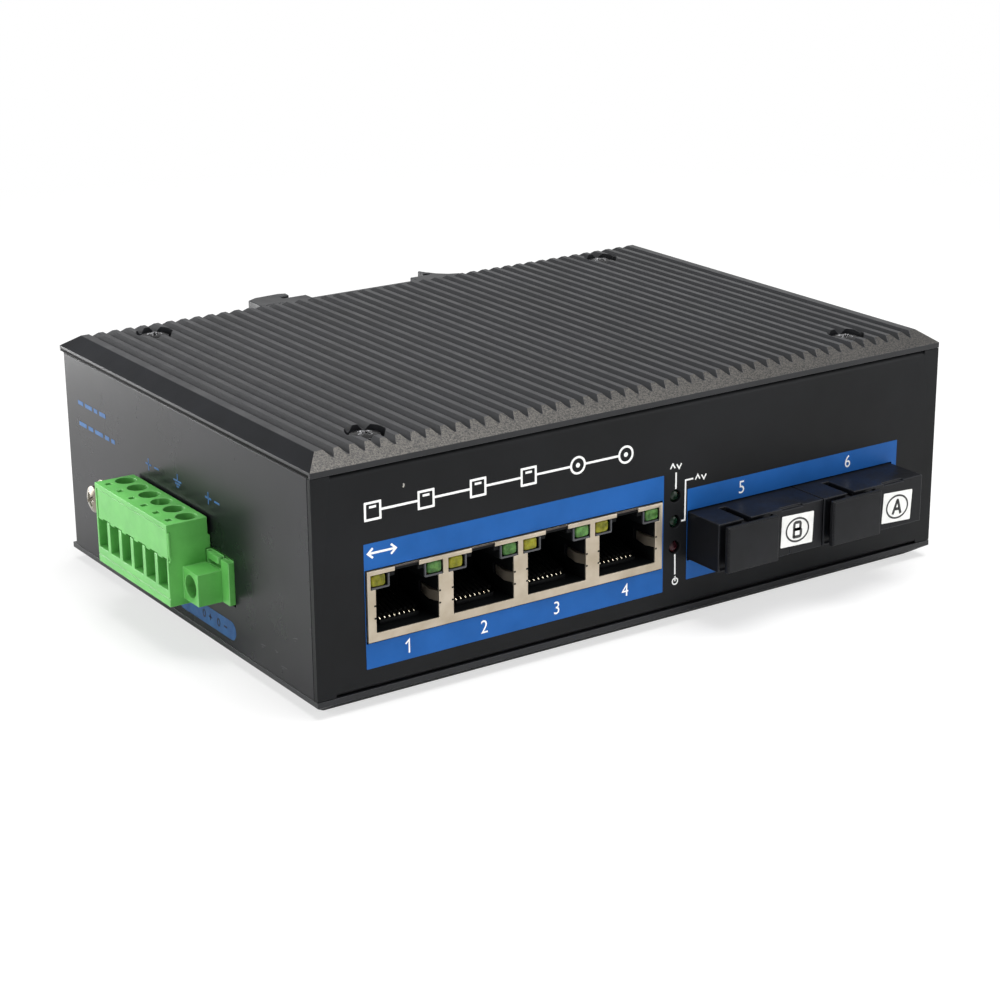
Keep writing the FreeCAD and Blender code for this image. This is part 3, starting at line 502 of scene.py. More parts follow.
# ---------------------------------------------------------------- finishes
def linear(colour: str) -> tuple[float, float, float, float]:
    """Linear colour of a six figure screen colour.

    Args:
        colour: Red, green and blue, two figures each.

    Returns:
        Red, green, blue and one.
    """
    channels = [int(colour[k : k + 2], 16) / 255 for k in (0, 2, 4)]
    values = [c / 12.92 if c <= 0.04045 else ((c + 0.055) / 1.055) ** 2.4 for c in channels]
    return (values[0], values[1], values[2], 1.0)


class Tree:
    """Adds and wires the nodes of one tree."""

    def __init__(self, tree: bpy.types.NodeTree) -> None:
        """Takes over a tree and empties it."""
        self.tree = tree
        tree.nodes.clear()

    def put(self, socket: Socket, value: object) -> None:
        """Wires or sets one input.

        Args:
            socket: The input.
            value: Another node's output, or a plain value.
        """
        if isinstance(value, Socket):
            self.tree.links.new(value, socket)
        else:
            socket.default_value = value

    def add(
        self, kind: str, inputs: dict[int | str, object] | None = None, **settings: object
    ) -> bpy.types.Node:
        """Adds one node.

        Args:
            kind: Kind of node, without the ShaderNode before it.
            inputs: What each input is wired or set to, by name or number.
            **settings: The node's own choices.

        Returns:
            The node.
        """
        node = self.tree.nodes.new(f"ShaderNode{kind}")
        for name, value in settings.items():
            setattr(node, name, value)
        for key, value in (inputs or {}).items():
            self.put(node.inputs[key], value)
        return node

    def reckon(self, kind: str, first: object, second: object, clamped: bool = False) -> Socket:
        """One step of arithmetic on two numbers."""
        return self.add("Math", {0: first, 1: second}, operation=kind, use_clamp=clamped).outputs[0]


class Graph(Tree):
    """Writes the node tree of one material."""

    def __init__(self, name: str) -> None:
        """Starts a material with a shader wired to the output.

        Args:
            name: Name of the material.
        """
        self.material = bpy.data.materials.new(name)
        self.material.use_nodes = True
        super().__init__(self.material.node_tree)
        self.shader = self.add("BsdfPrincipled")
        self.output = self.add("OutputMaterial", {"Surface": self.shader.outputs["BSDF"]})
        self._place = self.add("TexCoord").outputs["Object"]

    def set(self, **values: object) -> None:
        """Wires or sets inputs of the shader; underscores stand for spaces."""
        for key, value in values.items():
            self.put(self.shader.inputs[key.replace("_", " ")], value)

    def place(self, stretch: Sequence[float] = EVEN) -> Socket:
        """Object coordinates, stretched along the axes."""
        return self.add("Mapping", {"Vector": self._place, "Scale": stretch}).outputs["Vector"]

    def along(self, axis: int) -> Socket:
        """One object coordinate, in metres."""
        return self.add("SeparateXYZ", {0: self._place}).outputs[axis]

    def noise(
        self, size: float, detail: float = 3.0, rough: float = 0.55, stretch: Sequence[float] = EVEN
    ) -> Socket:
        """Cloudy pattern.

        Args:
            size: Width of a patch in millimetres, about.
            detail: How many finer layers are laid over it.
            rough: Strength of each finer layer beside the one before.
            stretch: Scale along each axis; a small one draws the patches out.

        Returns:
            The pattern, from nought to one.
        """
        scales = {"Scale": 1.0 / (size * MM), "Detail": detail, "Roughness": rough}
        return self.add("TexNoise", {"Vector": self.place(stretch), **scales}).outputs[0]

    def spread(self, value: Socket, source: Span, target: Span = WHOLE) -> Socket:
        """Maps one range onto another and holds the ends."""
        names = ("Value", "From Min", "From Max", "To Min", "To Max")
        return self.add("MapRange", dict(zip(names, (value, *source, *target)))).outputs["Result"]

    def blend(self, factor: object, first: object, second: object) -> Socket:
        """Mixes two colours."""
        return self.add("Mix", {0: factor, 6: first, 7: second}, data_type="RGBA").outputs[2]

    def facing(self, way: object, source: Span) -> Socket:
        """How well the surface faces a way, from nought to one.

        Args:
            way: Unit vector or another normal.
            source: Cosines between the two that give nought and one.

        Returns:
            The share.
        """
        own = self.add("NewGeometry").outputs["True Normal"]
        cosine = self.add("VectorMath", {0: way, 1: own}, operation="DOT_PRODUCT").outputs["Value"]
        return self.spread(cosine, source)

    def rounding(self, radius: float) -> Socket:
        """Normal eased over the edges by a radius in millimetres."""
        return self.add("Bevel", {"Radius": radius * MM}, samples=4).outputs["Normal"]

    def relief(self, height: Socket, depth: float, normal: Socket) -> Socket:
        """Bumps of a depth in millimetres, laid over a normal."""
        inputs = {"Strength": 1.0, "Distance": depth * MM, "Height": height, "Normal": normal}
        return self.add("Bump", inputs).outputs["Normal"]


@dataclass(frozen=True)
class Finish:
    """A coated, moulded or plated surface.

    Two close colours drift into each other in patches, a fine grain sets the bumps,
    and edges are eased and a little lighter, partly from handling and partly as a
    painted highlight where they catch the light.
    """

    name: str
    dark: str
    light: str
    gloss: Span = (0.42, 0.55)
    patch: float = 9.0
    grain: float = 0.35
    depth: float = 0.004
    edge: float = 0.10
    wear_and_highlight: float = 0.25
    wear_and_highlight_colour: str = "77787a"
    metallic: float = 0.0
    specular: float = 0.5

    def colour(self, graph: Graph) -> Socket:
        """Colour before the lighter edges, from handling and painted highlight.

        Args:
            graph: Tree of the material.

        Returns:
            The colour.
        """
        drift = graph.spread(graph.noise(self.patch), (0.32, 0.68))
        base = graph.blend(drift, linear(self.dark), linear(self.light))
        fleck = graph.spread(graph.noise(self.grain * 2.2, 2.0), (0.58, 0.75), (0.0, 0.35))
        return graph.blend(fleck, base, linear(self.light))

    def height(self, graph: Graph) -> Socket:
        """Height pattern for the bumps."""
        return graph.noise(self.grain, 2.0)

    def material(self) -> bpy.types.Material:
        """Builds the material, lighter where the eased normal leaves the flat one: handling marks and a
        painted highlight.

        Returns:
            The material.
        """
        graph = Graph(self.name)
        eased = graph.rounding(self.edge)
        wear_and_highlight_share = graph.reckon("MULTIPLY", graph.facing(eased, (0.995, 0.86)), self.wear_and_highlight)
        graph.set(
            Base_Color=graph.blend(wear_and_highlight_share, self.colour(graph), linear(self.wear_and_highlight_colour)),
            Roughness=graph.spread(graph.noise(self.patch * 0.4), (0.3, 0.7), self.gloss),
            Normal=graph.relief(self.height(graph), self.depth, eased),
            Metallic=self.metallic,
            Specular_IOR_Level=self.specular,
        )
        self.extras(graph)
        return graph.material

    def extras(self, graph: Graph) -> None:
        """Further shader settings of a kind of finish."""


@dataclass(frozen=True)
class BlastedPlate(Finish):
    """Black extrusion whose milled upper end chamfers are bead blasted to bright specks."""

    speck_dark: str = "121212"
    speck_light: str = "5b5751"
    speck: float = 0.34
    rise: float = 2.40
    run: float = 3.80

    def colour(self, graph: Graph) -> Socket:
        """Black with sparkling chamfers, found by the way they face; the sparkle fades to half towards the
        right end as a painted falloff of light.

        Args:
            graph: Tree of the material.

        Returns:
            The colour.
        """
        drawn = graph.spread(graph.noise(0.5, 3.0, 0.6, (1.0, 0.02, 1.0)), (0.4, 0.7), (0.0, 0.45))
        base = graph.blend(drawn, super().colour(graph), linear(self.light))
        specks = graph.spread(graph.noise(self.speck, 3.0, 0.9), (0.42, 0.58))
        sparkle = graph.blend(specks, linear(self.speck_dark), linear(self.speck_light))
        out, up = np.array([self.rise, self.run]) / math.hypot(self.rise, self.run)
        front, back = (graph.facing((0.0, side * out, up), (0.985, 0.995)) for side in (-1, 1))
        # Painted light falloff: the chamfers' sparkle drops to half from the left end to the right end.
        sparkle_light_falloff = graph.spread(graph.along(0), (-0.07, 0.07), (1.0, 0.5))
        mask = graph.reckon("MULTIPLY", graph.reckon("MAXIMUM", front, back), sparkle_light_falloff)
        return graph.blend(mask, base, sparkle)


@dataclass(frozen=True)
class DrawnMetal(Finish):
    """Bare or plated metal with fine lines left by rolling or turning."""

    stretch: tuple[float, float, float] = (1.0, 1.0, 0.06)

    def height(self, graph: Graph) -> Socket:
        """Lines along one axis."""
        return graph.noise(self.grain, 2.0, 0.6, self.stretch)


@dataclass(frozen=True)
class Lens(Finish):
    """Tinted clear plastic of a lamp, glossy and a little cloudy inside."""

    def extras(self, graph: Graph) -> None:
        """Adds a clear coat and some light carried under the surface."""
        graph.set(Coat_Weight=0.08, Coat_Roughness=0.15, Subsurface_Weight=0.25, Subsurface_Scale=0.001)


@dataclass(frozen=True)
class Mask(Finish):
    """Solder mask with copper tracks running under it."""

    def colour(self, graph: Graph) -> Socket:
        """Green with lighter tracks in two directions.

        Args:
            graph: Tree of the material.

        Returns:
            The colour.
        """
        base = super().colour(graph)
        for stretch in ((1.0, 0.05, 1.0), (0.05, 1.0, 1.0)):
            track = graph.spread(graph.noise(0.9, 0.0, 0.5, stretch), (0.56, 0.60), (0.0, 0.6))
            base = graph.blend(track, base, linear("3f8f4e"))
        return base


@dataclass(frozen=True)
class Ink(Finish):
    """Thin print or painted shade, which has no lighter edges of its own."""

    gloss: Span = (0.45, 0.55)
    patch: float = 3.0
    grain: float = 0.25
    depth: float = 0.002
    edge: float = 0.02
    wear_and_highlight: float = 0.0


class Palette(Enum):
    """Named finishes that hand out their material."""

    @property
    def paint(self) -> bpy.types.Material:
        """The one material of this finish."""
        return painted(self.value)


class Stock(Palette):
    """Every finish on the switch, by the name of its slot in the record.

    A row gives the name, the two colours, the range of gloss, the width of the
    patches, the width and depth of the grain, the width and strength of the lighter
    edges, part handling marks and part painted highlight, and their colour; then the
    metallic share and specular level where they count.
    """

    black_anodised = BlastedPlate(
        "anodised", "151618", "1c1d20", (0.34, 0.46), 14.0, 0.16, 0.003, 0.16, 0.22, "6b6c70", specular=0.29
    )
    black_sheet = Finish(
        "powder_coat", "0f1011", "151618",
        (0.42, 0.52), 22.0, 0.22, 0.0025, 0.12, 0.15, "4a4b4e", specular=0.12,
    )
    zinc_steel = DrawnMetal(
        "bright_zinc", "625c52", "8a8377", (0.22, 0.34), 3.0, 0.10, 0.002, 0.10, 0.3, "f2f1ec", metallic=1.0
    )
    # The strong pale edge colour of the black screws is a painted highlight on the head rims and recess
    # edges.
    black_screw = Finish(
        "black_oxide", "0b0b0c", "151516", (0.22, 0.32), 2.0, 0.08, 0.001, 0.10, 0.9, "b8b8ba", specular=0.12
    )
    board_green = Mask(
        "solder_mask", "0e4a26", "17663a", (0.25, 0.35), 12.0, 0.40, 0.004, 0.08, 0.2, "8a7c4a"
    )
    chip_black = Finish(
        "moulded_epoxy", "1b1b1c", "2a2a2b", (0.50, 0.62), 5.0, 0.12, 0.004, 0.06, 0.2, "4a4a4b"
    )
    bare_aluminium = DrawnMetal(
        "sawn_aluminium", "a8abad", "c6c9ca",
        (0.30, 0.42), 6.0, 0.15, 0.004, 0.08, 0.3, "eceded", metallic=1.0,
    )
    can_sleeve = Finish(
        "shrink_sleeve", "17181c", "23242a", (0.25, 0.35), 6.0, 0.30, 0.003, 0.12, 0.2, "9a9a9c"
    )
    ferrite = Finish("ferrite", "2c2b2a", "3c3a38", (0.55, 0.70), 3.0, 0.20, 0.010, 0.12, 0.2, "5a5856")
    nickel_shield = DrawnMetal(
        "nickel_plate", "9a8f7d", "ada292", (0.30, 0.42), 5.0, 0.12, 0.002, 0.06, 0.3, "f4ecdc", metallic=0.85
    )
    port_plastic = Finish(
        "socket_moulding", "070808", "0b0c0d",
        (0.40, 0.52), 4.0, 0.15, 0.003, 0.06, 0.12, "2a2b2e", specular=0.08,
    )
    gold_contact = DrawnMetal(
        "gold_flash", "d2c7ab", "f0e9d6", (0.16, 0.26), 1.5, 0.06, 0.001, 0.04, 0.3, "fff0c0", metallic=1.0
    )
    lamp_yellow = Lens(
        "yellow_lens", "55560a", "8f8c1c", (0.24, 0.34), 1.3, 0.20, 0.002, 0.10, 0.2, "c8c45a", specular=0.15
    )
    lamp_green = Lens(
        "green_lens", "1a3f14", "5c8a46", (0.24, 0.34), 1.3, 0.20, 0.002, 0.10, 0.2, "9ad092", specular=0.15
    )
    lamp_dark_green = Lens(
        "unlit_green", "0a1a10", "12291a", (0.18, 0.26), 1.2, 0.20, 0.002, 0.08, 0.1, "4f7a5c", specular=0.2
    )
    lamp_dark_red = Lens(
        "unlit_red", "240b10", "3a1219", (0.18, 0.26), 1.2, 0.20, 0.002, 0.08, 0.1, "8a4a54", specular=0.2
    )
    module_plastic = Finish(
        "module_moulding", "0e0f12", "131417",
        (0.34, 0.46), 7.0, 0.14, 0.004, 0.15, 0.35, "5d5f66", specular=0.14,
    )
    cap_rubber = Finish(
        "cap_moulding", "0f1012", "151619",
        (0.42, 0.54), 6.0, 0.18, 0.004, 0.15, 0.15, "3d3e43", specular=0.15,
    )
    ceramic_white = Finish("ceramic", "e4e2da", "f2f0ea", (0.15, 0.25), 2.0, 0.10, 0.001, 0.05, 0.1, "ffffff")
    label_paper = Finish("paper", "e2e2df", "f0f0ed", (0.60, 0.75), 2.0, 0.10, 0.004, 0.03, 0.1, "ffffff")
    terminal_green = Finish(
        "terminal_moulding", "54a14b", "60b055",
        (0.36, 0.46), 5.0, 0.25, 0.003, 0.15, 0.35, "b9ecb0", specular=0.35,
    )
    tin_pin = DrawnMetal(
        "tin_plate", "b5b6b5", "d2d3d1", (0.25, 0.35), 2.0, 0.08, 0.001, 0.05, 0.2, "f0f0ee", metallic=1.0
    )


class Accent(Palette):
    """Inks, marks, painted shades and painted highlights that differ from the plain finish of their slot."""

    BLUE = Ink("blue_ink", "145296", "1a5aa3", (0.42, 0.52), 8.0, 0.30, specular=0.14)
    WHITE = Ink("white_ink", "eeeeec", "f8f8f6", patch=2.0, grain=0.20)
    WALL_BLUE = Ink("wall_blue_ink", "123c68", "1a4876", specular=0.2)
    FAINT_BLUE = Ink("faint_blue_ink", "1b4c7e", "26598c", specular=0.22)
    # Dark green that paints the shade in the plug's gaps and beside its catch.
    SEAM_GREEN = Ink("painted_green_shade", "123a14", "1a4a1c", specular=0.2)
    NAVY = Ink("navy_ink", "070f20", "0b1730", specular=0.2)
    BLACK = Ink("black_ink", "1a1a1b", "262627", (0.50, 0.60), 1.0, 0.20)
    RUBBED = Ink("rubbed_coat", "2e2f31", "424346", (0.50, 0.60), 0.6, 0.10)
    # Pale bare paint of a chip; the same colour also paints a glint on a dust cap.
    CHIP = Ink("paint_chip", "8f8d88", "b5b2aa", (0.50, 0.60), 0.4, 0.10, 0.010)
    # Grey of the lamp holders, lighter than the socket plastic: partly their own colour, partly a painted
    # highlight on the lit front edges.
    HOLDER = Finish(
        "holder_grey_and_highlight", "2e2f33", "3a3b40", (0.35, 0.45), 2.0, 0.15, 0.003, 0.05, 0.3, "8a8b90"
    )
    WALL = Ink("wall_coat", "0f0f12", "15151a", (0.26, 0.31), 22.0, 0.22, 0.0015, 0.08, specular=0.17)
    DIM_PLATE = Ink("shaded_nickel", "38322f", "4a423d", (0.40, 0.50), 1.0, 0.10, 0.001, specular=0.2)
    # Near black film that paints the shade in the gap between the left wall and the cover.
    SEAM = Ink("shadow_seam", "050506", "09090a", (0.55, 0.65), 3.0, 0.20, specular=0.04)
    BEVEL = Ink("drawn_bevel", "131416", "1a1b1e", (0.36, 0.46), 14.0, 0.16, 0.003, specular=0.07)
    BRACKET = Finish(
        "anodised_bracket", "17181a", "1e1f22",
        (0.36, 0.50), 14.0, 0.16, 0.003, 0.2, 0.3, "6b6c70", specular=0.3,
    )


@lru_cache(maxsize=None)
def painted(finish: Finish) -> bpy.types.Material:
    """The one material of a finish."""
    return finish.material()


# ------------------------------------------------------------------ pieces
def add_piece(
    name: str,
    shapes: Iterable[Surface],
    stock: Stock,
    look: Palette | None = None,
    stands_for: Sequence[str] = (),
    crease: float = CREASE,
) -> None:
    """Makes a piece of the switch from one or more surfaces.

    Args:
        name: Name of the piece.
        shapes: Closed shells, in millimetres.
        stock: Slot that the piece takes its finish from.
        look: Another finish to show than the slot's own.
        stands_for: Nodes that the piece is shown instead of.
        crease: Angle in degrees above which an edge stays sharp.
    """
    surface = Surface.joined(shapes)
    mesh = bpy.data.meshes.new(name)
    mesh.from_pydata((surface.points * MM).tolist(), [], surface.faces)
    shell = bmesh.new()
    shell.from_mesh(mesh)
    _hand_over(name, mesh, shell, stock, look, stands_for, crease)


def ease_node(node: str, width: float, stock: Stock, look: Palette | None = None, steps: int = 2) -> None:
    """Shows a node as a copy whose edges are really rounded.

    The copy's loose triangles are welded and its flat faces joined, and a bevel as
    wide as the moulding or folding leaves it runs along every edge over 35 degrees.

    Args:
        node: Name of the node that the copy stands for.
        width: Width of the bevel in millimetres.
        stock: Slot of the finish.
        look: Another finish to show than the slot's own.
        steps: Facets across the bevel.
    """
    name = f"{node}_eased"
    mesh = bpy.data.meshes.new(name)
    shell = bmesh.new()
    shell.from_mesh(NODES[node].data)
    bmesh.ops.remove_doubles(shell, verts=shell.verts[:], dist=2e-6)
    flat = math.radians(0.6)
    bmesh.ops.dissolve_limit(shell, angle_limit=flat, verts=shell.verts[:], edges=shell.edges[:])
    bevel = _hand_over(name, mesh, shell, stock, look, (node,), EASED_CREASE).modifiers.new("eased", "BEVEL")
    bevel.width = width * MM
    bevel.segments = steps
    bevel.limit_method = "ANGLE"
    bevel.angle_limit = math.radians(35)
    bevel.use_clamp_overlap = False
    bevel.harden_normals = True


def _hand_over(
    name: str,
    mesh: bpy.types.Mesh,
    shell: bmesh.types.BMesh,
    stock: Stock,
    look: Palette | None,
    stands_for: Sequence[str],
    crease: float,
) -> bpy.types.Object:
    """Writes a shell to its mesh, paints it, makes its object and hands it to the frame.

    Args:
        name: Name of the piece.
        mesh: Mesh that takes the shell.
        shell: The faces, which are freed afterwards.
        stock: Slot that the piece takes its finish from.
        look: Another finish to show than the slot's own.
        stands_for: Nodes that the piece is shown instead of.
        crease: Angle in degrees above which an edge stays sharp.

    Returns:
        The new object.
    """
    bmesh.ops.recalc_face_normals(shell, faces=shell.faces[:])
    shell.to_mesh(mesh)
    shell.free()
    mesh.materials.clear()
    mesh.materials.append((look or stock).paint)
    mesh.polygons.foreach_set("material_index", np.zeros(len(mesh.polygons), dtype=np.int32))
    mesh.polygons.foreach_set("use_smooth", np.ones(len(mesh.polygons), dtype=bool))
    mesh.set_sharp_from_angle(angle=math.radians(crease))
    mesh.update()
    piece = bpy.data.objects.new(name, mesh)
    bpy.context.collection.objects.link(piece)
    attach(piece, BODY)
    if stands_for:
        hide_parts(*stands_for)
    LOG.info("%s: %d faces", name, len(mesh.polygons))
    return piece


@dataclass(frozen=True)
class Screw:
    """Machine screw drawn along +Z, with its seat at nought."""

    head: float
    rise: float
    dome: float
    shank: float = 2.9
    length: float = 6.2
    pitch: float = 0.5
    thread: float = 0.26
    rim: float = 0.12
    slot: float = 0.30
    reach: float = 1.45
    sink: float = 0.95
    wall_slope: float = 0.10
    end_slope: float = 0.55
    fade: float = 0.5
    flat: bool = False
    segments: int = 72

    def _top(self, radius: np.ndarray, angle: np.ndarray) -> np.ndarray:
        """Height of the head.

        The dome falls with the square of the radius. Two slots cross it: their depth
        is full inside the slot's half width and fades with a slope to its end.

        Args:
            radius: Distances from the axis.
            angle: Angles round it.

        Returns:
            A height for every pair.
        """
        x = np.abs(radius * np.cos(angle))
        y = np.abs(radius * np.sin(angle))
        crown = self.rise - self.dome * (2 * radius / self.head) ** 2
        wall = np.clip((self.slot - np.minimum(x, y)) / self.wall_slope + 0.5, 0, 1)
        end = np.clip((self.reach - np.maximum(x, y)) / self.end_slope, 0, 1)
        return crown - self.sink * np.minimum(wall, end)

    def surface(self) -> Surface:
        """The whole screw: threaded shank, underside, rim and recessed head.

        The thread stands 1 - |2 s - 1| of its depth off the core, where s is the
        share of a turn that the height is past, and fades out at both ends.

        Returns:
            The closed screw.
        """
        angle = np.linspace(0, 2 * math.pi, self.segments, endpoint=False)
        round_it = np.ones(self.segments)
        core = self.shank / 2 - self.thread
        half = self.head / 2
        down = np.linspace(-self.length, -0.1, int(self.length / self.pitch * 6))[:, None]
        turn = (down / self.pitch - angle / (2 * math.pi)) % 1.0
        fade = np.clip(np.minimum(down + self.length, -down) / self.fade, 0, 1)
        shank = core + self.thread * (1 - np.abs(2 * turn - 1)) * fade
        brow = self.rise - self.dome - self.rim
        under = [(core, 0.0), (half - self.rim, 0.0), (half, self.rim)]
        if self.flat:
            under = [(core, -0.05), (half * 0.98, brow)]
        side = np.array([*under, (half, brow)])
        inwards = np.concatenate([[half - 0.05], np.linspace(half - 0.16, 0.02, 30)])[:, None]
        radius = np.vstack([shank, side[:, :1] * round_it, inwards * round_it])
        height = np.vstack([down * round_it, side[:, 1:] * round_it, self._top(inwards, angle)])
        return loft(about_axis(radius, angle, height))

    def at_corners(self, node: str, axis: Axis, inset: float, spins: Sequence[float]) -> None:
        """Shows a node as four of these screws, their heads flush with its box.

        Args:
            node: Name of the node.
            axis: Way that the heads look.
            inset: Distance of each screw from both sides of the box.
            spins: Angle at which each screw came to rest.
        """
        extent = Extent.of(node)
        way = np.array(axis.value[2])
        place = np.where(way > 0, extent.high, extent.low) - way * self.rise
        across = np.flatnonzero(way == 0)
        shape = self.surface()
        screws = []
        for ends, spin in zip(product((extent.low + inset, extent.high - inset), repeat=2), spins):
            for number, end in zip(across, ends):
                place[number] = end[number]
            screws.append(shape.spun(spin).turned(axis).moved(*place))
        add_piece(f"{node}_turned", screws, Stock.black_screw, stands_for=(node,), crease=SCREW_CREASE)


@dataclass
class Casing:
    """Ribbed top and bottom plates, folded sheets, and the screws that hold them."""

    sheet_edge: float = 0.10
    screw: Screw = Screw(head=5.7, rise=1.60, dome=0.45)
    cover_spin: tuple[float, ...] = (20.0, 65.0, 38.0, 8.0)
    bevel_rise: float = 2.40
    bevel_side: float = 3.15
    bevel_end: float = 3.80
    bevel_share: Span = (0.02, 0.97)
    end_gap: float = 0.06
    film: float = 0.012
    chip: Span = (-54.06, 40.0)

    def build(self) -> None:
        """Adds eased sheets and detailed screws; the plates keep their own meshes."""
        self._bevels()
        ease_node("front_panel", self.sheet_edge, Stock.black_sheet)
        ease_node("rear_wrap", self.sheet_edge, Stock.black_sheet, Accent.WALL)
        for node, axis in (("cover_screws", Axis.UP), ("base_screws", Axis.DOWN)):
            self.screw.at_corners(node, axis, self.screw.head / 2, self.cover_spin)
        self._paint_chip()

    def _bevels(self) -> None:
        """Dull coat on the two long bevels, which the blasting left alone.

        A point at share t of the way up lies bevel_side * t in from the edge,
        bevel_rise * t up it, and bevel_end * t in from each end; the skin stands off
        by the film's thickness along the bevel's normal.
        """
        half, length, top = Extent.of("heatsink_cover").high
        low, high = self.bevel_share
        share = np.array([low, high, high, low])
        ends = np.array([-1.0, -1.0, 1.0, 1.0])
        x = self.bevel_side * share - half
        y = ends * (length - self.end_gap - self.bevel_end * share)
        base = np.column_stack([x, y, top - self.bevel_rise * (1 - share)])
        steep = math.hypot(self.bevel_rise, self.bevel_side)
        off = np.array([-self.bevel_rise, 0.0, self.bevel_side]) * self.film / steep
        mirror = np.array([-1.0, 1.0, 1.0])
        left = loft(np.stack([base, base + off]))
        right = loft(np.stack([base[::-1] * mirror, (base[::-1] + off) * mirror]))
        add_piece("bevel_coat", [left, right], Stock.black_anodised, Accent.BEVEL)

    def _paint_chip(self) -> None:
        """Tiny bare nick in the paint, above the ports and near the left end."""
        wall = float(Extent.of("front_panel").low[1])
        along = np.array([-0.22, 0.02, 0.2, 0.24, 0.05, -0.12, -0.05])
        up = np.array([-0.28, -0.42, -0.1, 0.2, 0.42, 0.3, 0.0])
        chip = Press(Face.FRONT, wall, 0.015).solid(np.column_stack([along, up]) + np.array(self.chip))
        add_piece("paint_chip", [chip], Stock.black_sheet, Accent.CHIP)


@dataclass
class PortFacePrint:
    """Blue fields, plain figures and lead lines printed on the port face.

    A field is given by its two sides and then its foot and top.
    """

    socket_field: tuple[float, ...] = (-62.45, 3.10, 7.40, 30.75)
    fibre_field: tuple[float, ...] = (8.76, 62.2, 8.75, 27.0)
    margin: float = 0.25
    module_height: float = 9.6
    figure: float = 2.5
    figure_level: float = 9.85
    line: float = 0.42
    bus_level: float = 36.6
    bus_ends: Span = (-60.4, -5.9)
    bus_socket: float = 3.5

    def build(self) -> None:
        """Prints the two fields and all the white work over them."""
        wall = float(Extent.of("front_panel").low[1])
        under = Press(Face.FRONT, wall)
        shield = Extent.of("rj45_shield")
        first = Extent.of("fibre_transceiver_5")
        second = Extent.of("fibre_transceiver_6")
        foot = first.high[2] - self.module_height
        fields = [
            under.window(self.socket_field, self._clear(shield.low, shield.high, shield.low[2])),
            under.window(self.fibre_field, self._clear(first.low, second.high, foot)),
        ]
        add_piece("blue_fields", fields, Stock.black_sheet, Accent.BLUE)
        over = Press(Face.FRONT, wall, 0.045)
        white = {"port_figures": self._figures, "lead_lines": self._leads, "bus_diagram": self._diagram}
        for name, draw in white.items():
            add_piece(name, draw(over), Stock.black_sheet, Accent.WHITE)

    def _clear(self, low: np.ndarray, high: np.ndarray, foot: float) -> tuple[float, ...]:
        """Sides of an opening that clears the box between two corners, down to its foot."""
        return (low[0] - self.margin, high[0] + self.margin, foot - self.margin, high[2] + self.margin)

    def _figures(self, press: Press) -> list[Surface]:
        """Plain port numbers; the one is drawn, the rest are cut from the typeface.

        Args:
            press: Press for the wall.

        Returns:
            The figures.
        """
        level = self.figure_level
        places = [(-37.6, level), (-21.55, level), (-5.8, level), (22.0, 24.85), (49.1, 24.95)]
        figures = [press.numeral(text, x, z, self.figure) for text, (x, z) in zip("23456", places)]
        x, z, half = -53.6, level, self.figure / 2
        figures.append(press.stroke([(x - 0.75, z + half * 0.45), (x, z + half), (x, z - half)], 0.28))
        return figures

    def _leads(self, press: Press) -> list[Surface]:
        """Lines from the lamps to small plain marks, and a double arrow over the sockets.

        Args:
            press: Press for the wall.

        Returns:
            The lines and marks.
        """
        lead, mark, arrow = 0.32, 0.26, 0.4
        shapes = [
            press.post(5.95, 27.6, 30.85, lead),
            press.stroke([(5.95, 14.5), (6.05, 10.4)], lead),
            press.stroke([(10.07, 28.88), (8.25, 28.88), (8.22, 20.95), (7.35, 20.95)], lead),
        ]
        for x, z in ((5.9, 32.1), (11.9, 28.9)):
            for middle, side in ((x - 0.75, 1), (x + 0.75, -1)):
                foot = z - side * 0.35
                tip = (middle, z + side * 0.55)
                shapes.append(press.stroke([(middle - 0.55, foot), tip, (middle + 0.55, foot)], mark))
        shapes.append(press.ring(6.1, 9.0, 1.5, 1.5, 0.24))
        shapes.append(press.post(6.1, 9.0, 10.05, 0.24))
        shapes.append(press.bar(-61.3, -56.2, 28.9, arrow))
        for side, x in ((1.0, -61.6), (-1.0, -55.9)):
            shapes.append(press.stroke([(x + side, 29.8), (x, 28.9), (x + side, 28.0)], arrow))
        return shapes

    def _diagram(self, press: Press) -> list[Surface]:
        """Generic bus drawing: four square sockets and two round ones on a line.

        Args:
            press: Press for the wall.

        Returns:
            The lines of the drawing.
        """
        level, half = self.bus_level, self.bus_socket / 2
        centres = np.linspace(*self.bus_ends, 6)
        shapes = []
        for x in centres[:4]:
            shapes.append(press.outline(x - half, x + half, level - half, level + half, self.line))
            shapes.append(press.bar(x - 0.7, x + 0.7, level + 0.75, self.line))
        for x in centres[4:]:
            shapes.append(press.ring(x, level, self.bus_socket, self.bus_socket, self.line))
            shapes.append(press.dot(x, level, 0.9))
        for left, right in pairwise(centres):
            shapes.append(press.bar(left + half, right - half, level, self.line))
        return shapes


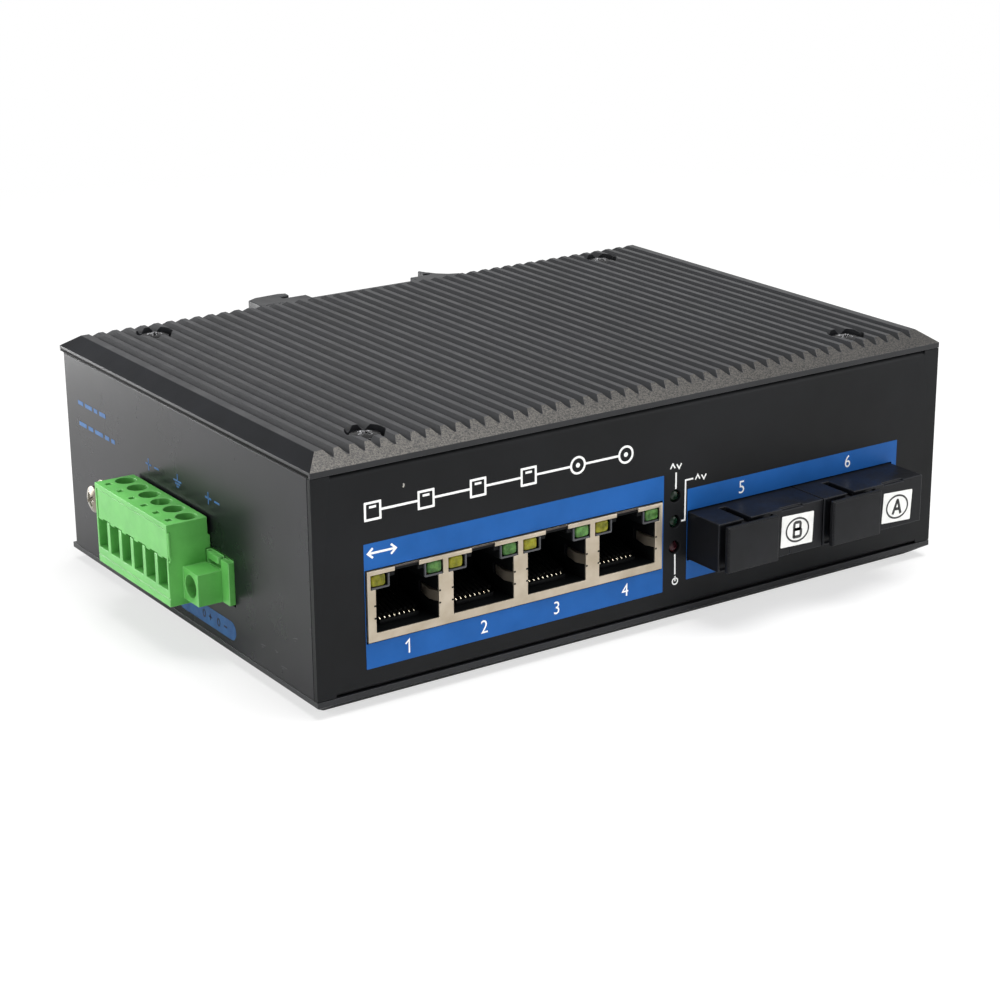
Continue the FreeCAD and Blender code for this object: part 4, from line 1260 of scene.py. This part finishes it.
@dataclass
class SideWallPrint:
    """Faint blue marks on the left wall, above and below the power plug."""

    line: float = 0.35
    dash: float = 0.85
    dash_start: float = -43.4
    dash_gap: float = 0.9
    sign_level: float = 30.6
    seam: tuple[float, ...] = (-50.2, 50.2, 44.62, 45.14)
    patch: tuple[float, ...] = (-2.0, 21.0, 4.9, 8.6)

    def build(self) -> None:
        """Prints dashes, polarity signs, a near black strip of painted shade in the gap under the cover and
        the round ended patch.
        """
        wall = float(Extent.of("rear_wrap").low[0])
        press = Press(Face.LEFT, wall)
        marks = self._dashes(press) + self._polarity(press)
        add_piece("wall_marks", marks, Stock.black_sheet, Accent.FAINT_BLUE)
        # Painted shade: a near black strip on the cover's edge over the wall, where the gap between them lies
        # in shade.
        lip = Press(Face.LEFT, float(Extent.of("heatsink_cover").low[0]), 0.01)
        add_piece("wall_gap_shade", [lip.field(*self.seam, 0.05)], Stock.black_anodised, Accent.SEAM)
        scuffs = self._scuffs(Press(Face.LEFT, wall, 0.01))
        add_piece("wall_scuffs", scuffs, Stock.black_sheet, Accent.RUBBED)
        add_piece("wall_patch", [press.field(*self.patch, 1.8)], Stock.black_sheet, Accent.WALL_BLUE)
        signs = self._patch_signs(Press(Face.LEFT, wall, 0.045))
        add_piece("patch_signs", signs, Stock.black_sheet, Accent.NAVY)

    def _patch_signs(self, press: Press) -> list[Surface]:
        """Rings, minus bars and one upright on the patch.

        Args:
            press: Press for the wall.

        Returns:
            The signs.
        """
        level = (self.patch[2] + self.patch[3]) / 2
        signs = []
        for ring, bar in ((8.4, 10.9), (14.2, 16.9)):
            signs.append(press.ring(ring, level, 1.3, 1.7, self.line))
            signs.append(press.bar(bar - 0.65, bar + 0.65, level, self.line))
        signs.append(press.post(10.9, level - 0.65, level + 0.65, self.line))
        return signs

    def _scuffs(self, press: Press) -> list[Surface]:
        """Short pale rubs near the front corner, as fine broken lines.

        Args:
            press: Press for the wall.

        Returns:
            The rubs.
        """
        starts = ((30.6, 7.9), (35.9, 8.6), (42.8, 13.1), (37.9, 6.2))
        lengths = (1.7, 1.1, 1.5, 2.1)
        rises = (0.10, -0.12, 0.22, 0.05)
        shapes = []
        for (u, z), length, rise in zip(starts, lengths, rises):
            points = [(u, z), (u + length * 0.45, z + rise), (u + length, z + rise * 1.6)]
            shapes.append(press.stroke(points, 0.10))
            shapes.append(press.stroke([(u + 0.3, z - 0.35), (u + 0.3 + length * 0.4, z - 0.30)], 0.07))
        return shapes

    def _dashes(self, press: Press) -> list[Surface]:
        """Two rows of short bars in place of words.

        Args:
            press: Press for the wall.

        Returns:
            The bars.
        """
        shapes = []
        for z, lengths in ((35.5, (2.4, 3.2, 1.6, 2.8)), (31.1, (3.4, 2.2, 3.6, 2.0, 1.6))):
            u = self.dash_start
            for length in lengths:
                shapes.append(press.bar(u, u + length, z, self.dash))
                u += length + self.dash_gap
        return shapes

    def _polarity(self, press: Press) -> list[Surface]:
        """Plus, minus and earth signs in a row over the plug.

        Args:
            press: Press for the wall.

        Returns:
            The signs.
        """
        z = self.sign_level
        shapes = []
        for u in (-12.2, 12.4):
            shapes.append(press.bar(u - 1.2, u + 1.2, z, self.line))
            shapes.append(press.post(u, z - 1.2, z + 1.2, self.line))
            shapes.append(press.bar(u + 2.4, u + 4.4, z, self.line))
        for rung, width in enumerate((1.6, 1.0, 0.45)):
            shapes.append(press.bar(-width, width, z - 0.1 - 0.55 * rung, self.line))
        shapes.append(press.post(0.0, z - 0.1, z + 1.3, self.line))
        return shapes


@dataclass
class CopperPorts:
    """Four shielded sockets with their lamps and sprung wires.

    Sides are distances from the middle of a socket and levels are heights over the
    foot of the shield. The lens is given by its middle and its width, and the latch
    slot by half its width and the levels of its shaded edge.
    """

    ports: int = 4
    pitch: float = 16.1
    first: float = 8.2
    floor: float = 1.58
    set_back: float = 0.35
    lamp_sides: Span = (3.78, 7.3)
    lamp_levels: Span = (9.93, 12.30)
    lens: Span = (5.82, 2.95)
    spring_sides: Span = (6.5, 6.92)
    spring_levels: Span = (4.38, 6.72)
    latch: tuple[float, float, float] = (2.48, 12.92, 13.24)
    wires: int = 8
    wire_pitch: float = 1.02
    wire: float = 0.30
    socket_depth: float = 13.5
    left: float = field(init=False)
    face: float = field(init=False)
    base: float = field(init=False)

    def __post_init__(self) -> None:
        """Reads where the shield stands."""
        self.left, self.face, self.base = Extent.of("rj45_shield").low.tolist()

    def build(self) -> None:
        """Dresses the sockets from the face inwards."""
        ease_node("rj45_shield", 0.07, Stock.nickel_shield)
        ease_node("rj45_housing", 0.08, Stock.port_plastic)
        self._contacts()
        self._combs()
        self._face_details()
        self._lenses("port_lamps_yellow", -1, Stock.lamp_yellow)
        self._lenses("port_lamps_green", 1, Stock.lamp_green)
        self._holders()

    @property
    def _centres(self) -> list[float]:
        """Middle of each socket along the face."""
        return [self.left + self.first + self.pitch * k for k in range(self.ports)]

    @property
    def _mouth(self) -> Span:
        """Face of the plastic and level of the sockets' floor."""
        return self.face + self.set_back, self.base + self.floor

    def _abreast(self, shape: Surface, centre: float, count: int) -> list[Surface]:
        """Copies of a shape side by side at the pitch of the wires."""
        return [shape.moved(centre + (k - (count - 1) / 2) * self.wire_pitch) for k in range(count)]

    def _contacts(self) -> None:
        """Flat sprung wires: up out of the floor, over a tight bend and back on a slope."""
        y, z = self._mouth
        bend = [(0, y + 3.55, z - 0.25), (0, y + 3.45, z + 0.95), (0, y + 5.2, z + 1.35)]
        path = rounded_path([*bend, (0, y + self.socket_depth, z + 3.75)], 0.5, 6)
        wire = swept(path, rounded_outline(self.wire, 0.30, 0.1, 2), (1.0, 0.0, 0.0))
        wires = [copy for centre in self._centres for copy in self._abreast(wire, centre, self.wires)]
        add_piece("sprung_wires", wires, Stock.gold_contact, stands_for=("rj45_contacts",))

    def _combs(self) -> None:
        """Black ribs between the wires and a sill before them, so that only bends show."""
        y, z = self._mouth
        section = rounded_outline(self.wire_pitch - self.wire - 0.12, 1.5, 0.08, 2)
        slope = np.array([(0.0, y + 4.1, z + 0.85), (0.0, y + 8.0, z + 1.75), (0.0, y + 13.4, z + 3.4)])
        rib = swept(slope, section, (1.0, 0.0, 0.0))
        sill = cushion_block((self.wires * self.wire_pitch, 0.85, 0.5), 0.06, 0.06, 2).turned(Axis.TO_FRONT)
        parts = []
        for centre in self._centres:
            parts.append(sill.moved(centre, y + 2.95, z + 0.43))
            parts += self._abreast(rib, centre, self.wires + 1)
        add_piece("wire_combs", parts, Stock.port_plastic)

    def _face_details(self) -> None:
        """Relief nicks beside the side springs, and the shaded edge over each latch slot."""
        press = Press(Face.FRONT, self.face, 0.012)
        shaded = Press(Face.FRONT, self.face + self.set_back, 0.012)
        nicks = []
        strips = []
        for centre in self._centres:
            for side in (-1, 1):
                sides = sorted(centre + side * far for far in self.spring_sides)
                for level in self.spring_levels:
                    z = self.base + level
                    nicks.append(press.field(*sides, z - 0.17, z + 0.17, 0.05))
            half, low, top = self.latch
            slot = (centre - half, centre + half, self.base + low, self.base + top)
            strips.append(shaded.field(*slot, 0.04))
        add_piece("spring_nicks", nicks, Stock.nickel_shield, Stock.port_plastic)
        add_piece("latch_edges", strips, Stock.nickel_shield, Accent.DIM_PLATE)

    def _lenses(self, node: str, side: int, stock: Stock) -> None:
        """Rounded windows, one beside the latch slot of every socket.

        Args:
            node: Node that the windows stand for.
            side: Minus one for the left of the slot and one for the right.
            stock: Slot of the finish.
        """
        extent = Extent.of(node)
        middle, width = self.lens
        lens = cushion_block((width, extent.size[2], extent.size[1]), 0.55, 0.42, 6).turned(Axis.TO_FRONT)
        lenses = [lens.moved(centre + side * middle, *extent.middle[1:]) for centre in self._centres]
        add_piece(f"{node}_rounded", lenses, stock, stands_for=(node,))

    def _holders(self) -> None:
        """Grey lips of the lamp holders, an angle under and beside every window; the grey is partly the
        holders' plastic and partly a painted highlight of their lit front edges.
        """
        y = self.face + 0.30
        low, top = (self.base + level for level in self.lamp_levels)
        section = rounded_outline(0.55, 0.34, 0.08, 2)
        lips = []
        for centre, side in product(self._centres, (-1, 1)):
            inner, outer = (centre + side * far for far in self.lamp_sides)
            path = rounded_path([(inner, y, top), (inner, y, low), (outer, y, low)], 0.15, 3)
            lips.append(swept(path, section, (0.0, 1.0, 0.0)))
        add_piece("lamp_lips", lips, Stock.port_plastic, Accent.HOLDER)


@dataclass
class StatusLamps:
    """Three round lamps beside the sockets."""

    lamps: tuple[tuple[str, Stock], ...] = (
        ("link_lamp_upper", Stock.lamp_dark_green),
        ("link_lamp_lower", Stock.lamp_dark_green),
        ("power_lamp", Stock.lamp_dark_red),
    )
    flatness: float = 0.6
    rim: float = 0.05

    def build(self) -> None:
        """Turns each lamp with a flattened round nose."""
        turn = np.linspace(0, math.pi / 2 * 0.96, 9)
        for node, stock in self.lamps:
            extent = Extent.of(node)
            radius = extent.size[0] / 2
            nose = radius * self.flatness
            front = np.column_stack([radius * np.cos(turn), extent.size[1] - nose + nose * np.sin(turn)])
            profile = np.vstack([[(0.0, 0.0), (radius - self.rim, 0.0), (radius, self.rim)], front])
            place = (extent.middle[0], extent.high[1], extent.middle[2])
            shape = revolved(profile, 40).turned(Axis.TO_FRONT).moved(*place)
            add_piece(f"{node}_round", [shape], stock, stands_for=(node,))


@dataclass
class FibrePair:
    """Two capped fibre modules side by side, each with a lettered sticker.

    A letter is one or more bent strokes about the sticker's middle.
    """

    letters: dict[str, tuple[tuple[Span, ...], ...]] = field(
        default_factory=lambda: {
            "B": (
                ((-0.85, -1.5), (-0.85, 1.5), (0.7, 1.5), (0.7, 0.1), (-0.85, 0.1)),
                ((-0.85, 0.1), (0.9, 0.1), (0.9, -1.4), (-0.95, -1.4)),
            ),
            "A": (((-1.05, -1.5), (0.0, 1.5), (1.05, -1.5)), ((-0.65, -0.45), (0.0, -0.45), (0.65, -0.45))),
        }
    )
    tilts: Span = (2.0, 3.0)
    stickers: tuple[Span, Span] = ((7.95, 6.3), (7.55, 6.2))

    def build(self) -> None:
        """Dresses both modules, their caps and their stickers."""
        cap = Press(Face.FRONT, float(Extent.of("dust_cap_5").low[1]) + 0.012, 0.010)
        # Painted glint: a tiny pale dot on the face of dust cap 5.
        add_piece("cap_speck", [cap.dot(13.75, 20.95, 0.24)], Stock.cap_rubber, Accent.CHIP)
        for number, letter, tilt, size in zip((5, 6), self.letters.values(), self.tilts, self.stickers):
            ease_node(f"fibre_transceiver_{number}", 0.16, Stock.module_plastic)
            ease_node(f"dust_cap_{number}", 0.22, Stock.cap_rubber, steps=3)
            self._sticker(f"port_label_{number}", letter, tilt, size)

    def _sticker(self, node: str, letter: Sequence[Sequence[Span]], tilt: float, size: Span) -> None:
        """Paper square, very slightly bowed, with a ring and a letter printed on it.

        At a share s of the way out the paper stands 0.10 + 0.03 * (1 - s * s) off the
        module, and the whole sticker is turned a few degrees on it.

        Args:
            node: Node that the paper stands for.
            letter: Strokes of the letter.
            tilt: Turn of the sticker in degrees, clockwise.
            size: Its width and height.
        """
        extent = Extent.of(node)
        around = rounded_outline(*size, 0.15, 3)
        rings = [raised(around, 0.0)]
        for share in (1.0, 0.8, 0.55, 0.3, 0.05):
            rings.append(raised(around * share, 0.10 + 0.03 * (1 - share**2)))
        x, y, z = extent.middle[0], extent.high[1], extent.middle[2]
        paper = loft(np.array(rings)).spun(-tilt).turned(Axis.TO_FRONT).moved(x, y, z)
        add_piece(f"{node}_paper", [paper], Stock.label_paper, stands_for=(node,))
        press = Press(Face.FRONT, 0.0, 0.012)
        marks = [press.ring(0.0, 0.0, 5.9, 5.0, 0.36)]
        marks += [press.stroke(rounded_path(path, 0.45, 4), 0.60) for path in letter]
        inked = Surface.joined(marks).spun(-tilt, 0, 2).moved(x, y - 0.135, z)
        add_piece(f"{node}_letter", [inked], Stock.label_paper, Accent.BLACK)


@dataclass
class PowerTerminal:
    """Green plug and header with their clamp cages."""

    gap: float = 0.17
    near_side: float = -12.54
    strip_foot: float = 20.45

    def build(self) -> None:
        """Rounds the mouldings and the cages, and adds the painted shade round the cover strip and the catch.
        """
        ease_node("terminal_header", 0.12, Stock.terminal_green)
        ease_node("terminal_plug_body", 0.09, Stock.terminal_green)
        ease_node("terminal_plug_cover", 0.10, Stock.terminal_green)
        ease_node("clamp_cages", 0.10, Stock.tin_pin)
        self._cover_seam()
        self._cover_catch()

    def _cover_seam(self) -> None:
        """Painted shade at the bottom of the gap round the cover strip."""
        strip = Extent.of("terminal_plug_cover")
        floor = Press(Face.LEFT, float(Extent.of("terminal_plug_body").low[0]) + 0.35)
        near, far, top = -strip.low[1], -strip.high[1], strip.high[2]
        spans = (
            (near, near + self.gap, self.strip_foot, top),
            (far - self.gap, far, self.strip_foot, top),
            (far, near, top, top + 0.12),
        )
        shades = [floor.field(*span, 0.02) for span in spans]
        add_piece("cover_gap_shade", shades, Stock.terminal_green, Accent.SEAM_GREEN)

    def _cover_catch(self) -> None:
        """Slim lip down the near end of the cover, hooked at its foot, and its shade."""
        body = Extent.of("terminal_plug_body")
        x, y, top = body.low[0], self.near_side - 0.15, body.high[2]
        hook = ((0.30, 1.6), (0.30, 6.2), (0.62, 6.7), (0.25, 7.3))
        path = rounded_path([(x + inwards, y, top - down) for inwards, down in hook], 0.3, 4)
        lip = swept(path, rounded_outline(0.44, 0.44, 0.10, 2), (0.0, 1.0, 0.0))
        add_piece("cover_catch", [lip], Stock.terminal_green)
        # Painted shade: a dark green line beside the lip.
        shade = Press(Face.FRONT, self.near_side, 0.01).post(x + 0.60, top - 1.5, top - 6.6, 0.16)
        add_piece("catch_shade", [shade], Stock.terminal_green, Accent.SEAM_GREEN)


@dataclass
class GroundPoint:
    """Bright screw with a split washer and a plain washer on the left wall."""

    screw: Screw = Screw(head=5.5, rise=2.1, dome=0.8, length=7.0, slot=0.34, reach=1.5, sink=1.0)
    bore: float = 1.6
    plain_thickness: float = 0.6
    split: Span = (7.0, 346.0)

    def build(self) -> None:
        """Turns the screw and winds the washers."""
        head = Extent.of("ground_screw")
        axis = head.middle[1:]
        seat = head.low[0] + self.screw.rise
        screw = [self.screw.surface().spun(24.0).turned(Axis.TO_LEFT).moved(seat, *axis)]
        add_piece("ground_screw_turned", screw, Stock.zinc_steel, None, ("ground_screw",), SCREW_CREASE)
        wall = Extent.of("rear_wrap").low[0]
        plain = revolved(self._section(3.5, 0.0, self.plain_thickness), 56, closed=True)
        washers = [
            plain.turned(Axis.TO_LEFT).moved(wall, *axis),
            self._split_washer().turned(Axis.TO_LEFT).moved(wall - self.plain_thickness, *axis),
        ]
        add_piece("ground_washers_sprung", washers, Stock.zinc_steel, stands_for=("ground_washers",))

    def _section(self, outer: float, low: float, high: float) -> np.ndarray:
        """Section of a washer with small round corners."""
        flat = rounded_outline(outer - self.bore, high - low, 0.08, 3)
        return flat + np.array([(self.bore + outer) / 2, (low + high) / 2])

    def _split_washer(self) -> Surface:
        """Square wire wound through most of a turn, rising by a tenth of its height.

        Returns:
            The washer.
        """
        section = self._section(2.95, 0.02, 0.82)
        angle = np.radians(np.linspace(*self.split, 60))[:, None]
        return loft(about_axis(section[:, 0], angle, section[:, 1] + 0.08 * angle / (2 * math.pi)))


@dataclass
class RailClip:
    """Extruded rail bracket with its flat headed screws and leaf spring."""

    screw: Screw = Screw(head=5.6, rise=1.18, dome=0.0, length=4.6, slot=0.3, reach=1.45, sink=0.7, flat=True)
    inset: float = 2.9

    def build(self) -> None:
        """Eases the extrusion and turns its screws."""
        ease_node("rail_bracket", 0.25, Stock.black_anodised, Accent.BRACKET)
        ease_node("rail_spring", 0.10, Stock.zinc_steel)
        self.screw.at_corners("bracket_screws", Axis.TO_BACK, self.inset, (12.0, 43.0, 74.0, 105.0))


# ------------------------------------------------------------------ studio
@dataclass(frozen=True)
class SoftBox:
    """Square white lamp that looks at a point on the switch."""

    name: str
    place: tuple[float, float, float]
    size: float
    watts: float
    aim: tuple[float, float, float] = (0.0, 0.0, 20.0)

    def build(self) -> None:
        """Hangs the lamp, out of the camera's sight."""
        data = bpy.data.lights.new(self.name, "AREA")
        data.shape = "SQUARE"
        data.size = self.size * MM
        data.energy = self.watts
        lamp = bpy.data.objects.new(self.name, data)
        bpy.context.collection.objects.link(lamp)
        lamp.visible_camera = False
        lamp.matrix_world = looking(np.array(self.place), np.array(self.aim))


def looking(place: np.ndarray, aim: np.ndarray, roll: float = 0.0) -> Matrix:
    """Matrix of something that looks along its own -Z from one point to another.

    Args:
        place: Where it stands, in millimetres.
        aim: What it looks at.
        roll: Turn about the line of sight, in degrees.

    Returns:
        The four by four matrix, in metres.
    """
    ahead = (aim - place) / np.linalg.norm(aim - place)
    right = np.cross(ahead, np.array([0.0, 0.0, 1.0]))
    right /= np.linalg.norm(right)
    up = np.cross(right, ahead)
    turn = math.radians(roll)
    matrix = np.eye(4)
    matrix[:3, 0] = math.cos(turn) * right + math.sin(turn) * up
    matrix[:3, 1] = -math.sin(turn) * right + math.cos(turn) * up
    matrix[:3, 2] = -ahead
    matrix[:3, 3] = place * MM
    return Matrix(matrix.tolist())


@dataclass
class Studio:
    """Pale floor, white surround, soft boxes and the camera."""

    radii: tuple[float, ...] = (3000.0, 1400.0, 600.0, 200.0, 0.5)
    around: int = 96
    fading: Span = (0.10, 0.42)
    own_white: Span = (0.66, 1.0)
    eye: tuple[float, float, float] = (-257.81, -383.77, 170.93)
    aim: tuple[float, float, float] = (0.18, 0.0, 12.34)
    roll: float = -0.481
    lens: float = 85.53
    boxes: tuple[SoftBox, ...] = (
        SoftBox("top_box", (60.0, -120.0, 900.0), 700.0, 12.5),
        SoftBox("low_back_box", (-520.0, 620.0, 140.0), 300.0, 2.5),
        SoftBox("wall_strip", (-165.0, 235.0, 32.0), 56.0, 0.16, (-72.0, 30.0, 26.0)),
        SoftBox("left_box", (-900.0, -50.0, 250.0), 450.0, 2.7),
        SoftBox("front_right_box", (620.0, -760.0, 330.0), 520.0, 2.2),
        SoftBox("right_box", (800.0, -350.0, 250.0), 450.0, 1.0),
    )

    def build(self) -> None:
        """Sets floor, surround, lamps and camera."""
        self._floor()
        self._surround()
        for box in self.boxes:
            box.build()
        self._camera()
        bpy.context.scene.view_settings.view_transform = "Standard"

    def _floor(self) -> None:
        """Large pale disc, made of rings from the rim inwards and a small middle."""
        unit = raised(unit_circle(self.around), 0.0)
        sheet = loft(unit * np.array(self.radii)[:, None, None], caps=False)
        middle = tuple(range(len(sheet.points) - self.around, len(sheet.points)))
        mesh = bpy.data.meshes.new("floor")
        mesh.from_pydata((sheet.points * MM).tolist(), [], [*sheet.faces, middle])
        mesh.materials.append(self._floor_paint())
        floor = bpy.data.objects.new("floor", mesh)
        bpy.context.collection.objects.link(floor)

    def _floor_paint(self) -> bpy.types.Material:
        """Pale matt floor that takes shadows near the switch; seen further off it is plain white.

        Over the fading distances, in metres, its own white grows from one share to the other.

        Returns:
            The material.
        """
        graph = Graph("floor_paper")
        graph.set(Base_Color=linear("f2f2f1"), Roughness=0.85, Specular_IOR_Level=0.1)
        glow = graph.add("Emission", {"Color": (1.0, 1.0, 1.0, 1.0)})
        path = graph.add("LightPath").outputs
        seen = graph.reckon("ADD", path["Is Camera Ray"], path["Is Transmission Ray"])
        length = graph.add("VectorMath", {0: graph.place()}, operation="LENGTH").outputs["Value"]
        share = graph.reckon("MULTIPLY", seen, graph.spread(length, self.fading, self.own_white))
        mix = graph.add("MixShader", {0: share, 1: graph.shader.outputs["BSDF"], 2: glow.outputs["Emission"]})
        graph.put(graph.output.inputs["Surface"], mix.outputs["Shader"])
        return graph.material

    def _surround(self) -> None:
        """White to the eye and to polished parts, softer as a source of light."""
        world = bpy.data.worlds.new("surround")
        bpy.context.scene.world = world
        world.use_nodes = True
        tree = Tree(world.node_tree)
        soft = tree.add("Background", {"Color": (0.96, 0.97, 1.0, 1.0), "Strength": 0.25}).outputs[0]
        white = tree.add("Background", {"Strength": 1.0}).outputs[0]
        path = tree.add("LightPath").outputs
        seen = tree.reckon("ADD", path["Is Camera Ray"], path["Is Glossy Ray"], clamped=True)
        seen = tree.reckon("ADD", seen, path["Is Transmission Ray"], clamped=True)
        mix = tree.add("MixShader", {0: seen, 1: soft, 2: white})
        tree.add("OutputWorld", {"Surface": mix.outputs[0]})

    def _camera(self) -> None:
        """Camera above and before the left front corner, with its near and far limits in metres."""
        data = bpy.data.cameras.new("camera")
        data.lens = self.lens
        data.sensor_width = 36.0
        data.clip_start = 0.01
        data.clip_end = 20.0
        camera = bpy.data.objects.new("camera", data)
        bpy.context.collection.objects.link(camera)
        camera.matrix_world = looking(np.array(self.eye), np.array(self.aim), self.roll)
        bpy.context.scene.camera = camera


def dress_nodes() -> None:
    """Gives every node of the frame the material of its slot."""
    for name, node in NODES.items():
        for slot in node.material_slots:
            slot.material = Stock[slot.material.name.split(".")[0]].paint
        LOG.info("%s: dressed", name)


def main() -> None:
    """Builds every part of the scene in order."""
    logging.basicConfig(level=logging.INFO, format="%(name)s %(message)s", stream=sys.stdout)
    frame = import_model()
    NODES.update(frame["nodes"])
    dress_nodes()
    parts = [Casing(), PortFacePrint(), SideWallPrint(), CopperPorts(), StatusLamps()]
    parts += [FibrePair(), PowerTerminal(), GroundPoint(), RailClip()]
    for part in parts:
        LOG.info("building %s", type(part).__name__)
        part.build()
    Studio().build()


if __name__ == "__main__":
    main()
